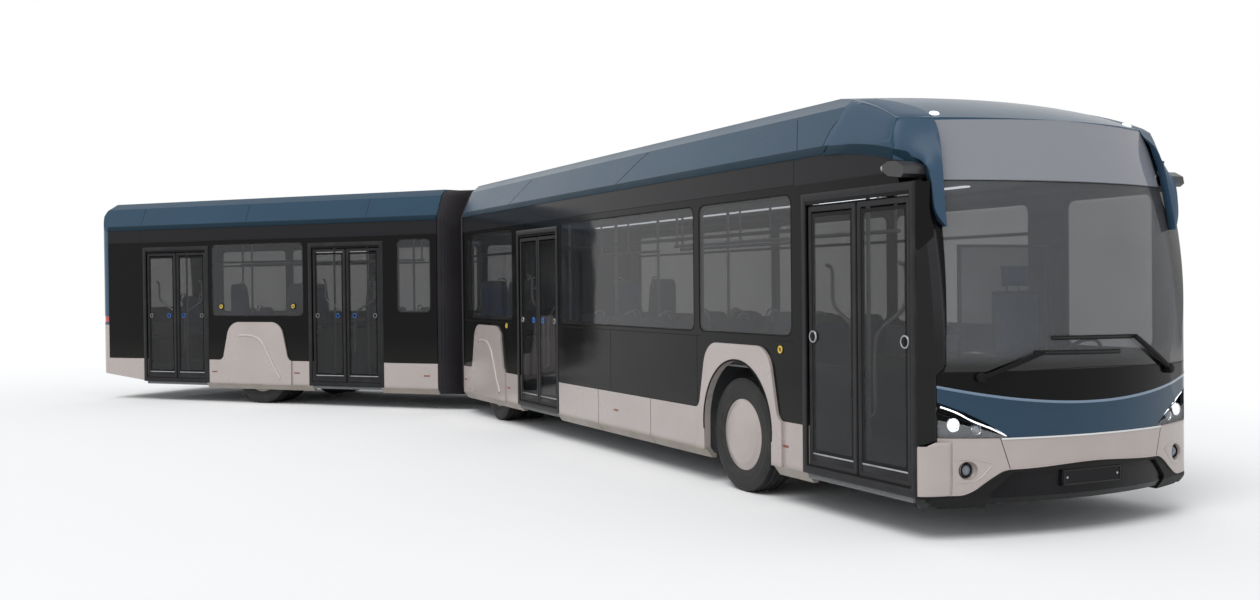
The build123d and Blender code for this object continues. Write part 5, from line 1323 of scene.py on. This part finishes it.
Form().tube([(1.03, 0.246, 1.08), (1.03, 0.246, 1.135), (1.06, 0.246, 1.150), (1.89, 0.246, 1.150),
             (1.92, 0.246, 1.135), (1.92, 0.246, 1.08)], 0.013).done("cab_door_rail", metal, "front", "rail")
Form().box((0.977, 0.274, 1.062), (0.983, 1.174, 2.024), 0.002).done(
    "cab_partition_glass", door_pane, "front", "tinted_glass")
# Pale moulded liners inside the walls, below the windows: section, side, first and last x
LINERS = [("front", 1, -5.68, -0.62), ("front", 1, 0.68, 0.94), ("front", -1, -3.88, -0.62), ("front", -1, 0.68, 0.99),
          ("front", -1, -5.70, -5.30), ("front", 1, -7.38, -7.0), ("front", -1, -7.38, -7.0),
          ("trailer", 1, -3.38, -0.82), ("trailer", -1, -1.66, -0.82), ("trailer", 1, -6.90, -4.64),
          ("trailer", -1, -3.38, -3.05), ("trailer", -1, -4.88, -4.64)]
liner_finish = worn("wall_liner", (3, 5, 0.42, 0.8), {
    "Base Color": ((0.40, 0.41, 0.42), (0.32, 0.325, 0.33)), "Roughness": (0.5, 0.15)}, (380, 2, 0.0003))
for section in SECTION:
    form = Form()
    for side, first, last in of(section, LINERS):
        form.box((first, side * 1.2335, 0.338), (last, side * 1.2265, 1.300), 0.003)
        form.box((first, side * 1.2335, 1.285), (last, side * 1.205, 1.312), 0.006)
    form.done(f"wall_liners_{section}", liner_finish, section, "ceiling_panel")


# ---- bellows -----------------------------------------------------------------------------------
# Coated charcoal cloth in shallow folds over hoops, sewn from one arch to the other. It is drawn for
# the straight bus and then swung with the trailer.
def bellows_cloth(place):
    weave = place.wave("Z", 260.0, 2.0)
    dust = place.noise(2.3, 5).rise(0.4, 0.8)
    return {"Base Color": dust.tint((0.018, 0.015, 0.019), (0.030, 0.026, 0.030)), "Roughness": 0.62 + dust * 0.15,
            "relief": (weave * 0.5 + place.noise(5, 3), 0.0012)}


FRONT_END, BELLOWS_REAR = -7.41, -9.005
FOLDS, FOLD_DEEP, FOLD_ROWS = 26, 0.030, 4
OUTLINE = [(1.215, 0.226, 1, 0.0), (1.262, 0.288, 1, -0.2), (1.275, 0.34, 1, 0), (1.275, 1.0, 1, 0), (1.275, 1.8, 1, 0),
           (1.275, 2.40, 1, 0), (1.275, 2.66, 1, 0), (1.262, 2.735, 0.95, 0.3), (1.20, 2.88, 0.92, 0.39),
           (1.145, 3.005, 0.9, 0.42), (1.115, 3.055, 0.75, 0.66), (1.045, 3.115, 0.5, 0.85), (0.98, 3.132, 0.2, 1),
           (0.5, 3.151, 0.03, 1), (0, 3.170, 0, 1)]
outline = OUTLINE + [(-y, z, -out, up) for y, z, out, up in OUTLINE[-2::-1]]
rows = []
for step in range(FOLDS * FOLD_ROWS + 1):
    x = FRONT_END + (BELLOWS_REAR - FRONT_END) * step / (FOLDS * FOLD_ROWS)
    inward = 0.015 + FOLD_DEEP * (0.5 - 0.5 * cos(2 * pi * step / FOLD_ROWS)) ** 0.7
    rows.append([(x, y - out * inward, z - up * inward) for y, z, out, up in outline])
bellows = Form().grid(rows).done("bellows_cloth", finish("bellows_cloth", bellows_cloth), "front", "bellows_fabric",
                                 body=False, sharp=60)
middle = SECTION["front"].translation
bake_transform(bellows)
for vert in bellows.data.vertices:
    t = min(1.0, max(0.0, (vert.co.x - middle.x - FRONT_END) / (BELLOWS_REAR - FRONT_END)))
    turn = Matrix.Rotation(BEND * t * t * (3 - 2 * t), 4, "Z")
    vert.co = pivot * Vector((1, 1, 0)) + turn @ (vert.co - pivot * Vector((1, 1, 0)))
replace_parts(bellows, "bellows")
# Clamping frames that hold the cloth to both sections
for name, section, x, way in (("front", "front", FRONT_END + 0.004, 1), ("rear", "trailer", -0.794, -1)):
    Form().grid([[(x + way * along, y - out * inward, z - up * inward) for y, z, out, up in outline]
                 for along, inward in ((0, 0.075), (0.0, 0.004), (0.012, 0.001), (0.026, 0.004), (0.026, 0.075))]).done(
        f"bellows_frame_{name}", frame_finish, section, "door_frame")


# ---- the studio: floor, light and camera -------------------------------------------------------
# A white seamless floor under even daylight, seen from the kerb ahead of the front door. It keeps
# the shadow, and away from the bus it fades into the white behind.
def studio_floor(place):
    grain = place.noise(0.4, 3)
    return {"Base Color": grain.tint((0.965, 0.965, 0.965), (0.985, 0.985, 0.985)), "Roughness": 0.9,
            "Specular IOR Level": 0.0}


def sight(tree):
    """1 for the rays that are seen: straight, mirrored or through the glass."""
    path = tree.nodes.new("ShaderNodeLightPath")
    return sum(Tone(path.outputs[f"Is {kind} Ray"]) for kind in ("Camera", "Glossy", "Transmission"))


FLOOR_HALF = 120
FADE = (7.5, 12)         # how far off the floor begins to fade, and is white
data = bpy.data.meshes.new("studio_floor")
corners = [(x * FLOOR_HALF, y * FLOOR_HALF, 0) for x, y in ((-1, -1), (1, -1), (1, 1), (-1, 1))]
data.from_pydata(corners, [], [(0, 1, 2, 3)])
paving = finish("studio_floor", studio_floor)
tree = paving.node_tree
place = Tone(tree.nodes.new("ShaderNodeTexCoord").outputs["Object"])
east, north, _ = place.axes()
away = ((east / 1.6) ** 2 + north ** 2) ** 0.5
seen = sight(tree)
glare = seen.node("Emission", {}, {"Color": (1, 1, 1), "Strength": 1.0})
shader = Tone(next(node for node in tree.nodes if node.type == "BSDF_PRINCIPLED").outputs[0])
mixed = seen.node("MixShader", {}, {0: seen * away.rise(*FADE), 1: shader, 2: glare})
tree.links.new(mixed.socket, next(node for node in tree.nodes if node.type == "OUTPUT_MATERIAL").inputs[0])
data.materials.append(paving)
ground = bpy.data.objects.new("studio_floor", data)
bpy.context.scene.collection.objects.link(ground)

world = bpy.data.worlds.new("daylight")
bpy.context.scene.world = world
world.use_nodes = True
sky = world.node_tree
sky.nodes.clear()
rays = sight(sky)
LEVEL = 0.62             # of the light that falls on the bus from all round
light = rays.node("Background", {}, {"Color": (0.95, 0.975, 1.0), "Strength": LEVEL})
white = rays.node("Background", {}, {"Color": (1, 1, 1), "Strength": 1.0})
both = rays.node("MixShader", {}, {0: rays, 1: light, 2: white})
sky.links.new(both.socket, sky.nodes.new("ShaderNodeOutputWorld").inputs["Surface"])

sun = bpy.data.lights.new("high_sun", "SUN")
sun.energy, sun.angle = 1.5, radians(35)
lamp = bpy.data.objects.new("high_sun", sun)
lamp.rotation_euler = (radians(28), radians(22), 0)
bpy.context.scene.collection.objects.link(lamp)

EYE = Vector((8.9914, -6.5086, 1.7379))      # from the front axle
YAW, PITCH, ROLL = radians(154.646), radians(-0.678), radians(-0.586)
SENSOR, FOCAL = 36.0, 35.46
forward = Vector((cos(PITCH) * cos(YAW), cos(PITCH) * sin(YAW), sin(PITCH)))
right = Vector((sin(YAW), -cos(YAW), 0))
above = right.cross(forward)
right, above = right * cos(ROLL) + above * sin(ROLL), above * cos(ROLL) - right * sin(ROLL)
camera = bpy.data.cameras.new("kerb_view")
camera.sensor_width, camera.lens = SENSOR, FOCAL
camera.clip_end = 500
viewer = bpy.data.objects.new("kerb_view", camera)
viewer.matrix_world = Matrix.Translation(SECTION["front"] @ EYE) @ Matrix(
    (right, above, -forward)).transposed().to_4x4()
bpy.context.scene.collection.objects.link(viewer)
bpy.context.scene.camera = viewer
bpy.context.scene.view_settings.view_transform = "Standard"
